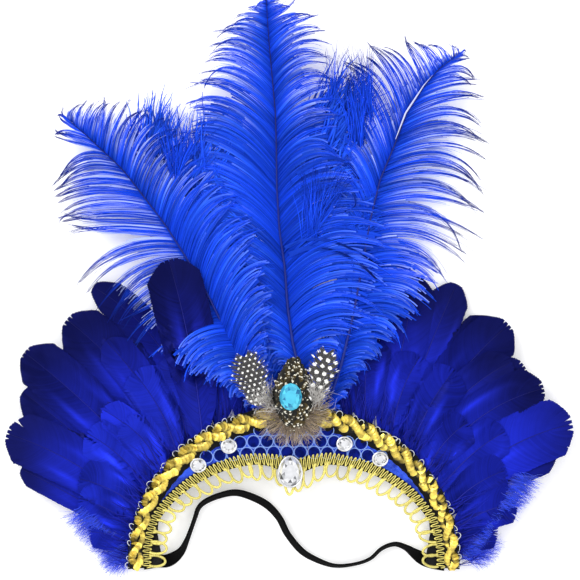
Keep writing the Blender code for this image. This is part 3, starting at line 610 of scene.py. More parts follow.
# rows: share of the plume's length, bend, then reach and rise of the barbs on the left and the right
# open: how far the locks stand apart on each side, by share of the length
# wisp: on each side, locks in a wisp and how closely they gather; pale: how soon the film turns pale
# lift: how far the plume is raised, by share of the length
plumeShapes = {
    "plume_left": {
        "highlightSpan": None,
        "open": (
            ((0.0, 0.0), (0.30, 0.0), (0.44, 1.0), (1.0, 1.0)),
            ((0.0, 0.0), (0.56, 0.0), (0.70, 0.8), (1.0, 1.0)),
        ),
        "wisp": ((5.5, 0.62), (2.5, 0.45)), "pale": (0.78, 0.25),
        "root": (-4.8, 81.2), "length": 0.2340, "aim": -35.0, "reach": 0.0670, "arch": 0.26, "seed": 3,
        "lift": (  # over the left fan
            (0.0, 0.0), (0.12, 0.0), (0.18, 0.0085), (0.29, 0.0085), (0.35, 0.0), (1.0, 0.0),
        ),
        "rows": (
            (0.03, 0.000, 0.10, 0.05, 0.10, 0.05),
            (0.17, 0.000, 0.28, 0.04, 0.30, 0.04),
            (0.24, -0.010, 0.49, 0.02, 0.56, 0.06),
            (0.33, -0.024, 0.66, 0.01, 0.72, 0.07),
            (0.42, -0.037, 0.82, 0.00, 0.80, 0.09),
            (0.53, -0.046, 1.00, 0.06, 0.77, 0.08),
            (0.63, -0.050, 0.96, 0.10, 0.69, 0.07),
            (0.72, -0.046, 0.80, 0.12, 0.63, 0.07),
            (0.81, -0.042, 0.57, 0.11, 0.60, 0.09),
            (0.88, -0.028, 0.36, 0.10, 0.45, 0.09),
            (0.95, -0.013, 0.18, 0.08, 0.26, 0.06),
            (1.00, 0.000, 0.02, 0.05, 0.02, 0.05),
        ),
    },
    "plume_middle": {
        "highlightSpan": None,
        "open": (
            ((0.0, 0.0), (0.60, 0.0), (0.72, 0.8), (1.0, 0.8)),
            ((0.0, 0.0), (0.62, 0.0), (0.74, 0.7), (1.0, 0.8)),
        ),
        "wisp": ((2.2, 0.45), (2.2, 0.45)), "pale": (0.12, 0.12),
        "root": (6.9, 81.2), "length": 0.2664, "aim": -5.1, "reach": 0.0710, "arch": 0.40, "seed": 5,
        "lift": ((0.0, 0.0), (1.0, 0.0)),
        "rows": (
            (0.03, 0.000, 0.10, 0.05, 0.10, 0.05),
            (0.14, 0.000, 0.26, 0.04, 0.34, 0.02),
            (0.20, 0.010, 0.42, 0.05, 0.76, 0.01),
            (0.29, 0.015, 0.55, 0.08, 1.00, 0.02),
            (0.38, 0.013, 0.68, 0.10, 1.00, 0.03),
            (0.47, 0.018, 0.75, 0.13, 0.84, 0.05),
            (0.57, 0.015, 0.80, 0.14, 0.68, 0.05),
            (0.66, 0.008, 0.77, 0.13, 0.61, 0.05),
            (0.74, 0.003, 0.72, 0.10, 0.58, 0.05),
            (0.83, 0.003, 0.58, 0.07, 0.55, 0.05),
            (0.90, 0.003, 0.46, 0.05, 0.48, 0.05),
            (0.96, 0.002, 0.27, 0.02, 0.29, 0.02),
            (1.00, 0.000, 0.05, 0.00, 0.05, 0.00),
        ),
    },
    "plume_right": {
        "highlightSpan": (0.75, 0.93),  # there a pale line, a painted highlight, runs beside the quill
        "open": (
            ((0.0, 0.0), (0.56, 0.0), (0.66, 1.2), (0.72, 2.0), (1.0, 2.0)),
            ((0.0, 0.0), (0.32, 0.0), (0.50, 1.0), (1.0, 1.0)),
        ),
        "wisp": ((1.3, 0.20), (2.4, 0.50)), "pale": (0.0, 0.20),
        "root": (15.0, 81.2), "length": 0.2480, "aim": 20.8, "reach": 0.0690, "arch": 0.32, "seed": 7,
        "lift": ((0.0, 0.0), (1.0, 0.0)),
        "rows": (
            (0.03, 0.000, 0.10, 0.05, 0.10, 0.05),
            (0.17, 0.004, 0.24, 0.04, 0.26, 0.04),
            (0.30, 0.020, 0.37, 0.08, 0.56, 0.03),
            (0.42, 0.042, 0.46, 0.11, 0.76, 0.03),
            (0.54, 0.065, 0.53, 0.10, 0.98, 0.03),
            (0.64, 0.077, 0.62, 0.12, 1.00, 0.07),
            (0.73, 0.074, 0.72, 0.15, 0.83, 0.09),
            (0.82, 0.074, 0.60, 0.12, 0.63, 0.09),
            (0.90, 0.056, 0.42, 0.08, 0.43, 0.07),
            (0.96, 0.034, 0.28, 0.05, 0.22, 0.05),
            (1.00, 0.000, 0.02, 0.03, 0.02, 0.03),
        ),
    },
}


def plumeSpine(shape, share):
    up = direction(shape["aim"])
    left = np.array((-up[1], up[0]))
    bend = readRows(shape["rows"], share)[0]
    spot = sheetSpot(*shape["root"]) + up * share[..., None] * shape["length"]
    return spot + left * bend[..., None] * shape["length"]


def barbPaths(shape, side, share, travel, outScale, riseShift, archScale):
    # where a barb that leaves the quill at share is after that travel along it, from 0 to 1
    up = direction(shape["aim"])
    way = np.array((-up[1], up[0])) * (1 if side == 0 else -1)
    columns = readRows(shape["rows"], share)
    out, rise = columns[1 + 2 * side] * outScale, columns[2 + 2 * side] + riseShift
    base = plumeSpine(shape, share)
    reach = (out * shape["reach"])[..., None]
    tip = base + way * reach + up * rise[..., None] * shape["length"]
    arch = shape["arch"] * archScale * np.clip((1.02 - share) * 5, 0.0, 1.0)
    knee = base + (tip - base) * 0.45 + up * reach * arch[..., None]
    return bezier(base[:, None], knee[:, None], tip[:, None], travel)


def makeLocks(shape, side, rng):
    # one row of numbers for each lock of barbs; a few locks gather into each wisp
    count = plumeLook["locks"]
    usual, least, most = plumeLook["lockReach"]
    scatter = plumeLook["lockScatter"]
    first = shape["rows"][0][0]
    share = first + (1.0 - first) * (np.arange(count) + 0.5) / count
    wisp = np.cumsum(rng.random(count) < 1.0 / shape["wisp"][side][0])
    wisps = wisp.max() + 1
    middles = np.zeros(wisps)
    for number in np.unique(wisp):
        middles[number] = share[wisp == number].mean()
    return {
        "share": share,
        "wispShare": middles[wisp],
        "wispOut": rng.normal(1.0, scatter["wispOut"], wisps)[wisp],
        "out": rng.normal(usual, scatter["out"], count).clip(least, most),
        "rise": rng.normal(0.0, scatter["rise"], count),
        "arch": rng.normal(1.0, scatter["arch"], count),
        "curl": rng.normal(0.0, plumeLook["curl"], count),
        "tone": rng.normal(0.0, scatter["tone"], count),
    }


def addBarbs(sheet, shape, side, locks, kind, surface, rng):
    look = plumeLook
    which = np.repeat(np.arange(look["locks"]), kind["strands"])
    lock = {label: numbers[which] for label, numbers in locks.items()}
    count = which.size
    pitch = (1.0 - shape["rows"][0][0]) / look["locks"]
    share = np.clip(lock["share"] + rng.uniform(-0.5, 0.5, count) * pitch, 0.0, 1.0)
    openness = readRows(shape["open"][side], share)[0]
    loose = np.minimum(openness, 1.0)
    reach = rng.uniform(*kind["reach"], count) * np.maximum(1.0 - kind["openReach"] * openness**2, 0.05)
    travel = np.linspace(0.0, 1.0, look["stations"]) * reach[:, None]
    # a barb's own path, the path of its lock, and the path of the wisp that the lock leans to
    outScale, riseShift = rng.normal(*look["barbReach"], count), rng.normal(0, look["barbRise"], count)
    own = barbPaths(shape, side, share, travel, outScale, riseShift, lock["arch"])
    led = barbPaths(shape, side, lock["share"], travel, lock["out"], lock["rise"], lock["arch"])
    drawn = barbPaths(shape, side, lock["wispShare"], travel, lock["wispOut"], 0.0, 1.0)
    clump = kind["clump"] * np.where(rng.random(count) < kind["stray"], 0.3, 1.0)[:, None] * travel**1.1
    gather = shape["wisp"][side][1] * loose
    spots = own + (led - own) * clump[..., None]
    spots = spots + (drawn - led) * gather[:, None, None] * travel[..., None] ** 2
    along = unit(np.gradient(spots, axis=1))
    across = np.stack((along[..., 1], -along[..., 0]), axis=-1)
    wave, phase = rng.uniform(*look["wave"], count)[:, None], rng.uniform(0, 6, count)[:, None]
    waveWidth = rng.uniform(0.0, look["waveWidth"], count)[:, None]
    shift = np.sin(travel * wave + phase) * travel * waveWidth + lock["curl"][:, None] * travel**4
    droop = direction(shape["aim"]) * look["droop"] * travel[..., None] ** 4
    spots = spots + across * shift[..., None] - droop
    lift = kind["lift"] + readRows(shape["lift"], share)[0]
    layer = rng.random(count)[:, None] * look["thickness"]
    arch = look["archHeight"] * np.sin(math.pi * travel)
    heights = np.maximum(heightsOn(surface, spots) + lift[:, None] + layer + arch, look["lowest"])
    soon, sharply = look["narrowing"]
    start, end = kind["widths"]
    end = end + kind["fill"] * np.clip(1.0 - openness, 0.0, 1.0)
    widths = start + (end[:, None] - start) * smoothStep(travel * soon) ** sharply
    paler = kind["paler"] * shape["pale"][side] * loose[:, None] ** 2
    fade = np.linspace(0.0, 1.0, look["stations"]) ** (1.0 - paler)
    fade = fade * (look["closedFade"] + (1.0 - look["closedFade"]) * loose[:, None])
    tone = 0.5 + rng.normal(0, look["toneScatter"], count) + lock["tone"]
    roll = rng.normal(0.0, look["rollScatter"], count)[:, None]
    addRibbons(sheet, raised(spots, heights), widths, roll, along=fade, tone=tone[:, None])


blueGlint = (0.10, 0.20, 1.0, 1.0)
ostrich = {
    kind: featherFinish(
        label, plumeLook[kind]["colours"], *plumeLook[kind]["fade"], 0.9,
        Specular_IOR_Level=0.35, Specular_Tint=blueGlint,
    )
    for kind, label in (("web", "ostrichWeb"), ("spine", "ostrichBarbs"), ("under", "ostrichUnder"))
}
ostrichQuill = featherFinish(
    "ostrichQuill", ((0.004, 0.02, 0.25), (0.003, 0.012, 0.20), (0.002, 0.004, 0.06)), 0.4, 0.5, 0.3,
    Specular_IOR_Level=0.3,
)
# painted highlight: a pale line standing for light caught along the quill
quillHighlight = featherFinish(
    "quillHighlight", ((0.40, 0.46, 0.80), (0.78, 0.80, 0.95), (0.50, 0.54, 0.90)), 0.2, 0.6, 0.1,
    Specular_IOR_Level=0.4,
)


def makePlume(name):
    look, shape = plumeLook, plumeShapes[name]
    rng = np.random.default_rng(shape["seed"])
    surface = surfaceOf(name)
    sheets = {kind: newSheet() for kind in ostrich}
    for side in (0, 1):
        locks = makeLocks(shape, side, rng)
        for kind in ("web", "spine"):
            addBarbs(sheets[kind], shape, side, locks, look[kind], surface, rng)
    for side in (0, 1):
        addBarbs(sheets["under"], shape, side, makeLocks(shape, side, rng), look["under"], surface, rng)
    addPiece(f"{name}_web", sheets["web"], ostrich["web"], replaces=(name,))
    addPiece(f"{name}_barbs", sheets["spine"], ostrich["spine"])
    addPiece(f"{name}_under", sheets["under"], ostrich["under"])
    quill = newSheet()
    share = np.linspace(0.0, 1.0, 40)
    spots = plumeSpine(shape, share)
    radii = look["quillRadius"] * (1.0 - 0.85 * share)
    line = raised(spots, heightsOn(surface, spots) + look["thickness"] + look["quillLift"])
    addTubes(quill, line[None], radii[None], along=share[None], tone=0.5)
    addPiece(f"{name}_quill", quill, ostrichQuill)
    # the painted highlight beside the quill, where the shape asks for one
    if shape["highlightSpan"]:
        pale = newSheet()
        share = np.linspace(*shape["highlightSpan"], 30)
        spots = plumeSpine(shape, share) - np.array((look["highlightShift"], 0.0))
        radii = look["highlightRadius"] * np.sin(np.linspace(0.25, math.pi - 0.1, 30))
        line = raised(spots, heightsOn(surface, spots) + look["thickness"] + look["highlightLift"])
        addTubes(pale, line[None], radii[None], 5, along=share[None], tone=0.5)
        addPiece(f"{name}_quill_highlight", pale, quillHighlight)


for plumeName in plumeShapes:
    makePlume(plumeName)


# Barbs that have come out of line, in millimetres from the centre of the arch

strayLook = {
    "routes": (
        ((-5.5, 194.0), (6.9, 199.0), (22.4, 198.4), (39.2, 191.6), (53.4, 182.3)),
        ((-3.0, 190.0), (9.0, 194.0), (26.0, 192.0), (41.0, 184.0), (52.0, 174.0)),
        ((20.0, 214.0), (27.5, 226.5), (36.5, 227.5), (38.0, 220.0), (31.5, 216.5)),
        ((2.0, 240.0), (20.0, 250.0), (34.0, 246.0), (41.0, 236.0)),
    ),
    "strandsEach": 7,
    "spread": 0.0006,  # of the strands beside their route
    "lift": 0.0045,
    "width": 0.0006,
    "film": {
        "scatter": 0.007, "shortest": 0.5, "lift": -0.0008, "width": 0.0014, "curl": 0.05, "fade": 0.4,
    },
    "fan": {
        "scatter": 0.0022, "shortest": 0.55, "lift": 0.0035, "width": 0.0005, "curl": 0.12, "fade": 1.0,
    },
    "fills": (  # soft film between the plumes
        ((34.0, 222.0), (60.0, 84.0), 0.030, 220),
        ((30.0, 206.0), (48.0, 76.0), 0.034, 220),
        ((-34.0, 212.0), (-80.0, -56.0), 0.034, 240),
        ((-30.0, 196.0), (-76.0, -50.0), 0.038, 240),
        ((-36.0, 226.0), (-84.0, -66.0), 0.026, 160),
        ((-19.0, 115.0), (-24.0, 24.0), 0.034, 200),
        ((14.0, 238.0), (30.0, 80.0), 0.030, 160),
        ((-48.0, 232.0), (-60.0, -20.0), 0.018, 120),
        ((-66.0, 232.0), (-14.0, 42.0), 0.042, 220),
        ((-88.0, 252.0), (-8.0, 34.0), 0.034, 140),
        ((24.0, 254.0), (12.0, 60.0), 0.038, 170),
        ((20.0, 274.0), (14.0, 62.0), 0.036, 130),
    ),
    "fans": (  # barbs that spread at the plumes' ends
        ((11.3, 203.0), (-12.0, 38.0), 0.048, 150),
        ((47.0, 276.0), (-20.0, 2.0), 0.046, 70),
        ((24.0, 290.0), (-6.0, 14.0), 0.030, 24),
        ((40.0, 260.0), (-14.0, 10.0), 0.050, 130),
        ((-74.0, 240.0), (-20.0, 40.0), 0.048, 60),
    ),
}


def makeStrays():
    look = strayLook
    rng = np.random.default_rng(9)
    surface = surfaceOf(*plumeShapes)
    sheet = newSheet()
    for route in look["routes"]:
        line = smoothRoute(np.array(route) / 1000 + archCentre, 24)
        share = np.linspace(0.0, 1.0, 24)
        side = unit(np.gradient(line, axis=0))[:, ::-1] * np.array((1, -1))
        offsets = rng.normal(0, look["spread"], look["strandsEach"])
        spots = line[None] + side[None] * (offsets[:, None, None] * (1 - 0.7 * share)[:, None])
        heights = heightsOn(surface, spots) + look["lift"]
        widths = look["width"] * (1 - 0.6 * share)
        addRibbons(sheet, raised(spots, heights), widths, 0.0, along=0.5 + 0.5 * share, tone=0.1)
    addTufts(sheet, look["fans"], look["fan"], surface, rng)
    addPiece("plume_middle_strays", sheet, ostrich["spine"])
    film = newSheet()
    addTufts(film, look["fills"], look["film"], surface, rng)
    addPiece("plume_middle_film", film, ostrich["web"])


makeStrays()
print("ostrich plumes made")


# Goose feathers of the side fans

gooseLook = {
    "barbs": 96,  # on each side of the quill
    "stations": 7,
    "bare": 0.05,  # share of the feather that is bare quill
    "slope": 0.17,  # how far up the feather a barb's tip is from its root
    "slopeLoss": 0.35,  # how much of that is lost towards the feather's end
    "knee": (0.62, 0.30),  # where a barb bends, as shares of its half width and its slope
    "overlap": 2.8,  # width of a barb in spacings
    "layering": 0.0004,  # each barb lies on the one before it
    "roll": 0.10,
    "notches": 3,  # on each side
    "notchDepth": 0.007,
    "lastTip": 1.011,  # the last barb's tip, as a share of the feather
    "overshoot": 0.006,  # the most that a tip reaches past the feather, in the same measure
    "edgeScatter": 0.008,
    # painted sheen and highlights, added to each barb's tone where light would catch the satin vane
    "sheenStreaks": (0.22, 0.08),  # painted sheen: lighter streaks along the feather, and their scatter from barb to barb
    "gleamAcross": (0.2, 0.7),  # where across the vane the painted highlight lies, as a share of a barb
    "gleamAt": (0.25, 0.60),  # where along the feather the painted highlight lies
    "gleamSize": (0.18, 0.10),  # of the painted highlight, along the feather and along a barb
    "gleam": (0.3, 2.4),
    "camber": 0.0014,
    "wideHalf": 0.020,  # half width of a feather with the full camber
    "quillRadius": 0.0005,
    "quillLift": 0.0004,
    "base": (0.010, 0.022, 0.46),
    "middle": (0.007, 0.014, 0.34),
    "end": (0.003, 0.004, 0.050),
    "rows": (  # share along the vane, half width as a share
        (0.00, 0.30), (0.08, 0.60), (0.26, 0.84), (0.56, 1.00), (0.80, 1.00), (0.92, 0.96), (1.00, 0.88),
    ),
}


def featherOf(node):
    # root, aim, length, bow and half width of a CAD feather, read from its mesh
    spots = np.array([vertex.co[:2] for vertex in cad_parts[node].data.vertices])
    order = np.argsort(np.linalg.norm(spots - archCentre, axis=1))
    root = spots[order[:4]].mean(axis=0)
    far = np.argsort(np.linalg.norm(spots - root, axis=1))
    tip = spots[far[-8:]].mean(axis=0)
    along = unit(tip - root)
    across = np.array((along[1], -along[0]))
    place = (spots - root) @ along
    length = place.max()
    hump = 4 * (place / length) * (1 - place / length)
    offset = (spots - root) @ across
    bow = (offset * hump).sum() / (hump * hump).sum()
    halfWidth = np.abs(offset - bow * hump).max()
    return {"root": root, "along": along, "length": length, "bow": bow, "halfWidth": halfWidth}


def gooseSpine(feather, share):
    along = feather["along"]
    across = np.array((along[1], -along[0]))
    hump = 4 * share * (1 - share)
    bowed = across * (hump * feather["bow"])[..., None]
    spot = feather["root"] + along * (share * feather["length"])[..., None] + bowed
    slope = 4 * (1 - 2 * share) * feather["bow"] / feather["length"]
    lean = unit(along + across * slope[..., None])
    return spot, lean, np.stack((lean[..., 1], -lean[..., 0]), axis=-1)


def addGoose(sheet, quills, feather, surface, lift, rng, shade, darkening=1.0):
    # darkening is how dark the tip gets
    look = gooseLook
    barbs = look["barbs"]
    kneeOut, kneeUp = look["knee"]
    travel = np.broadcast_to(np.linspace(0.0, 1.0, look["stations"]), (barbs, look["stations"]))
    widths = feather["length"] / barbs * look["overlap"] * (1.0 - 0.35 * smoothStep((travel - 0.9) / 0.1))
    drop = look["camber"] * (feather["halfWidth"] / look["wideHalf"]) ** 2 * travel**2
    order = np.linspace(0.0, look["layering"], barbs)[:, None]
    for side in (-1, 1):
        share = np.linspace(look["bare"], 0.995 - look["slope"] * (1.0 - look["slopeLoss"]), barbs)
        slope = look["slope"] * (1.0 - look["slopeLoss"] * share)
        notch = np.zeros(barbs)
        for cut in rng.choice(np.arange(8, barbs - 2), look["notches"], replace=False):
            notch[cut:] += rng.normal(0.0, look["notchDepth"])
        notch -= notch.mean()
        tipShare = share + slope + notch
        tipShare += (share - share[0]) / (share[-1] - share[0]) * (look["lastTip"] - tipShare[-1])
        vane = (tipShare - tipShare[0]) / (1.0 - tipShare[0])
        half = feather["halfWidth"] * readRows(look["rows"], np.clip(vane, 0, 1))[0]
        half *= 1.0 + rng.normal(0.0, look["edgeScatter"], barbs)
        half *= np.sqrt(np.clip((1.012 - tipShare) / 0.09, 0.0, 1.0))
        root, lean, across = gooseSpine(feather, share)
        reached = np.minimum(tipShare, 1.0)
        tipRoot, tipLean, tipAcross = gooseSpine(feather, reached)
        over = np.minimum(tipShare - reached, look["overshoot"]) * feather["length"]
        tip = tipRoot + tipLean * over[:, None] + tipAcross * (side * half)[:, None]
        knee = root + across * (side * half * kneeOut)[:, None]
        knee = knee + lean * (slope * feather["length"] * kneeUp)[:, None]
        spots = bezier(root[:, None], knee[:, None], tip[:, None], travel)
        heights = heightsOn(surface, spots) + lift - drop + order
        # painted sheen: lighter streaks along the feather, and a painted highlight band across its barbs
        sheenStreaks = look["sheenStreaks"][0] * np.sin(share * rng.uniform(7, 13) + rng.uniform(0, 6))
        sheenStreaks = sheenStreaks + rng.normal(0, look["sheenStreaks"][1], barbs)
        gleamAcross = rng.uniform(*look["gleamAcross"]) + 0.12 * np.sin(share * 5 + rng.uniform(0, 6))[:, None]
        gleamLong, gleamWide = look["gleamSize"]
        bright = np.exp(-((share - rng.uniform(*look["gleamAt"])) / gleamLong) ** 2)[:, None]
        gleam = np.exp(-((travel - gleamAcross) / gleamWide) ** 2) * bright * rng.uniform(*look["gleam"])
        tone = shade + sheenStreaks[:, None] + gleam
        colour = np.clip((share[:, None] + travel * 0.18) * darkening, 0, 1)
        addRibbons(sheet, raised(spots, heights), widths, side * look["roll"], along=colour, tone=tone)
    share = np.linspace(0.0, 0.99, 16)
    spots = gooseSpine(feather, share)[0]
    line = raised(spots, heightsOn(surface, spots) + lift + look["quillLift"])
    radii = look["quillRadius"] * (1 - 0.8 * share)
    addTubes(quills, line[None], radii[None], 5, along=share[None], tone=0.5)


navy = featherFinish(
    "navyGooseVane", (gooseLook["base"], gooseLook["middle"], gooseLook["end"]), 0.45, 0.42, 0.9,
    Specular_IOR_Level=0.5, Specular_Tint=(0.08, 0.10, 0.9, 1.0),
)
navyQuill = featherFinish(
    "gooseQuill", ((0.012, 0.020, 0.38), (0.010, 0.014, 0.28), (0.004, 0.005, 0.10)), 0.4, 0.5, 0.2,
    Specular_IOR_Level=0.2,
)

fanLook = {
    "count": 9,
    "inFront": ("fan_left_1",),  # its tip lies over the left plume
    "frontLift": 0.0068,
    "lift": 0.0002,
    "rootInset": 0.001,  # of the short feathers, on the band
    "leftShades": (-0.15, 0.45, 0.25, 0.40, 0.20, 0.85, 0.45, 0.75, 0.80),
    "rightShades": (0.40, 0.55, 0.30, 0.60, 0.25, 0.85, 0.60, 0.50, 0.35),
    "leftBreadths": (1.22, 1.0, 1.0, 1.0, 1.0, 1.0, 1.0, 0.9, 0.7),
    "rightBreadths": (1.0, 1.0, 1.0, 1.0, 1.0, 1.0, 1.0, 0.85, 0.75),
    "shortening": 0.98,
    "paleTips": {  # how dark the tip gets, 1 for the others
        "fan_left_6": 0.30, "fan_left_4": 0.75, "fan_right_6": 0.78, "fan_right_7": 0.85,
    },
    "leftCovers": (0.10, 0.42),
    "rightCovers": (-0.10, 0.40),
    "brightCover": ("left", 5),
    "brighter": 0.30,
    "coverLift": 0.0014,
    "coverStep": 0.0004,
    "coverScatter": 4,  # degrees
    "coverBow": 0.004,
    "coverDarkening": {"left": 0.15, "right": 0.5},
    "covers": (  # short feathers on the fan's foot: turn, aim, length, half width
        (13, -3, 0.044, 0.012), (21, 2, 0.050, 0.013), (29, 8, 0.056, 0.013), (38, 17, 0.060, 0.014),
        (47, 28, 0.060, 0.014), (56, 36, 0.048, 0.013), (64, 47, 0.056, 0.013), (72, 54, 0.052, 0.013),
        (80, 60, 0.044, 0.012), (87, 64, 0.030, 0.010),
    ),
    "fillerLift": -0.0014,
    "fillerShades": (0.1, 0.6),
    "fillerBow": 0.006,
    "fillers": (  # under the others, in the gaps between them
        (49, 31, 0.104, 0.016), (43, 18, 0.092, 0.015), (56, 41, 0.094, 0.014), (70, 54, 0.080, 0.015),
    ),
}


def shortFeather(side, turn, aim, length, halfWidth, bow):
    # one rooted on the band, described as featherOf does
    return {
        "root": bandSpot(side * turn, fanLook["rootInset"]), "along": direction(side * aim),
        "length": length, "bow": -side * bow, "halfWidth": halfWidth,
    }


def makeFan(sideName, side):
    look = fanLook
    rng = np.random.default_rng(20 + side)
    names = [f"fan_{sideName}_{number}" for number in range(1, look["count"] + 1)]
    for name, shade, breadth in zip(names, look[f"{sideName}Shades"], look[f"{sideName}Breadths"]):
        sheet, quills = newSheet(), newSheet()
        feather = featherOf(name)
        feather["halfWidth"] *= breadth
        feather["length"] *= look["shortening"]
        inFront = name in look["inFront"]
        surface = surfaceOf(name, "plume_left") if inFront else surfaceOf(name)
        lift = look["frontLift"] if inFront else look["lift"]
        addGoose(sheet, quills, feather, surface, lift, rng, shade, look["paleTips"].get(name, 1.0))
        addPiece(f"{name}_vane", sheet, navy, replaces=(name,))
        addPiece(f"{name}_quill", quills, navyQuill)
    cover, quills = newSheet(), newSheet()
    surface = surfaceOf(*names)
    for turn, aim, length, halfWidth in look["fillers"]:
        feather = shortFeather(side, turn, aim, length, halfWidth, look["fillerBow"])
        shade = rng.uniform(*look["fillerShades"])
        addGoose(cover, quills, feather, surface, look["fillerLift"], rng, shade)
    for number, (turn, aim, length, halfWidth) in enumerate(look["covers"]):
        aim, length = aim + rng.normal(0, look["coverScatter"]), length * rng.uniform(0.9, 1.1)
        feather = shortFeather(side, turn, aim, length, halfWidth, look["coverBow"])
        shade = rng.uniform(*look[f"{sideName}Covers"])
        if (sideName, number) == look["brightCover"]:
            shade += look["brighter"]
        lift = look["coverLift"] + look["coverStep"] * (number % 3)
        addGoose(cover, quills, feather, surface, lift, rng, shade, look["coverDarkening"][sideName])
    addPiece(f"fan_{sideName}_covers", cover, navy)
    addPiece(f"fan_{sideName}_cover_quills", quills, navyQuill)


makeFan("left", -1)
makeFan("right", 1)
print("side fans made")


# Down at the foot of each fan

downLook = {
    "width": 0.00036,
    "lift": 0.0012,
    "curl": 0.14,
    "scatter": 0.0015,
    "left": (  # root from and to in millimetres, aims, length, strands
        ((-98.0, 5.0), (-128.0, 33.0), (-146.0, -108.0), 0.018, 980),
        ((-98.0, 3.0), (-106.0, 12.0), (-138.0, -104.0), 0.021, 420),
    ),
    "right": (
        ((126.0, 34.0), (138.0, 54.0), (98.0, 128.0), 0.016, 560),
        ((103.0, 4.0), (112.0, 14.0), (84.0, 128.0), 0.020, 480),
        ((114.0, 14.0), (124.0, 30.0), (104.0, 124.0), 0.008, 160),
    ),
}

paleDown = featherFinish(
    "paleBlueDown", ((0.008, 0.020, 0.42), (0.010, 0.050, 0.74), (0.14, 0.20, 0.90)), 0.4, 0.60, 0.7,
)


def makeDown(sideName, side):
    look = downLook
    rng = np.random.default_rng(40 + side)
    surface = surfaceOf(f"down_{sideName}", f"fan_{sideName}_8", f"fan_{sideName}_9")
    sheet = newSheet()
    for start, end, aimRange, length, count in look[sideName]:
        root = sheetSpot(*start) + (sheetSpot(*end) - sheetSpot(*start)) * rng.random((count, 1, 1))
        root = root + rng.normal(0, look["scatter"], (count, 1, 2))
        aims, lengths = rng.uniform(*aimRange, count), length * rng.uniform(0.4, 1.05, count)
        addTuft(sheet, root, aims, lengths, surface, look["lift"], look["width"], rng, look["curl"])
    addPiece(f"down_{sideName}_strands", sheet, paleDown, replaces=(f"down_{sideName}",))


bandDownLook = {
    "strands": 180,  # on each side
    "width": 0.0006,
    "lift": 0.0022,
    "curl": 0.12,
    "turns": (13.0, 92.0),
    "insets": (-0.011, 0.003),
    "aims": ((13, -6), (30, 10), (60, 46), (92, 80)),  # turn, aim
    "scatter": 9.0,
    "length": (0.010, 0.026),
}

navyDown = featherFinish(
    "navyDown", ((0.004, 0.006, 0.14), (0.007, 0.012, 0.30), (0.010, 0.020, 0.42)), 0.3, 0.5, 0.9,
    Specular_IOR_Level=0.1,
)


def makeBandDown(sideName, side):
    look = bandDownLook
    rng = np.random.default_rng(50 + side)
    surface = surfaceOf(*(f"fan_{sideName}_{number}" for number in range(1, fanLook["count"] + 1)))
    sheet = newSheet()
    turn = rng.uniform(*look["turns"], look["strands"])
    root = bandSpot(side * turn, rng.uniform(*look["insets"], look["strands"]))
    aims = side * (readRows(look["aims"], turn)[0] + rng.normal(0, look["scatter"], look["strands"]))
    lengths = rng.uniform(*look["length"], look["strands"])
    addTuft(sheet, root[:, None], aims, lengths, surface, look["lift"], look["width"], rng, look["curl"])
    addPiece(f"fan_{sideName}_down", sheet, navyDown)


makeBandDown("left", -1)
makeBandDown("right", 1)
makeDown("left", -1)
makeDown("right", 1)
print("down made")


# Gold sequin braid: two strands of stacked sequins twist round each other on a black cord, which also
# paints the shadow along the braid's edges

braidLook = {
    "periods": 12,
    "sway": 0.0029,
    "rise": 0.0013,
    "seat": 0.0012,
    "narrowing": 0.2,  # towards the ends of the band
    "sequins": 170,  # on each strand
    "sequinRadius": 0.0030,
    "spokes": 12,
    "lobe": (0.80, 0.22),  # sequins at the sides of the braid are larger
    "lean": 15.0,
    "twist": 0.10,
    "cup": 0.0004,
    "bend": 0.55,
    "ruffle": 0.06,
    "tone": (0.80, 0.40),  # usual and scatter
    # painted shade: sequin rims darker at the strand's sides, and a strand darker where it dips under the
    # other
    "paintedRimShade": 0.70,
    "paintedUnderShade": 0.66,
    "backShift": 0.0007,  # towards the facing
    "backWidth": 0.0140,
    "backHeight": (0.0004, 0.0007),  # at its edges, and more along its middle
    "backSteps": 160,
    "ripple": 0.0003,
    "bright": (0.95, 0.72, 0.12),
    "creaseShade": (0.16, 0.08, 0.006),
}


def braidTaper(turn):
    return 1.0 - braidLook["narrowing"] * smoothStep(np.abs(turn) / band["endTurn"])


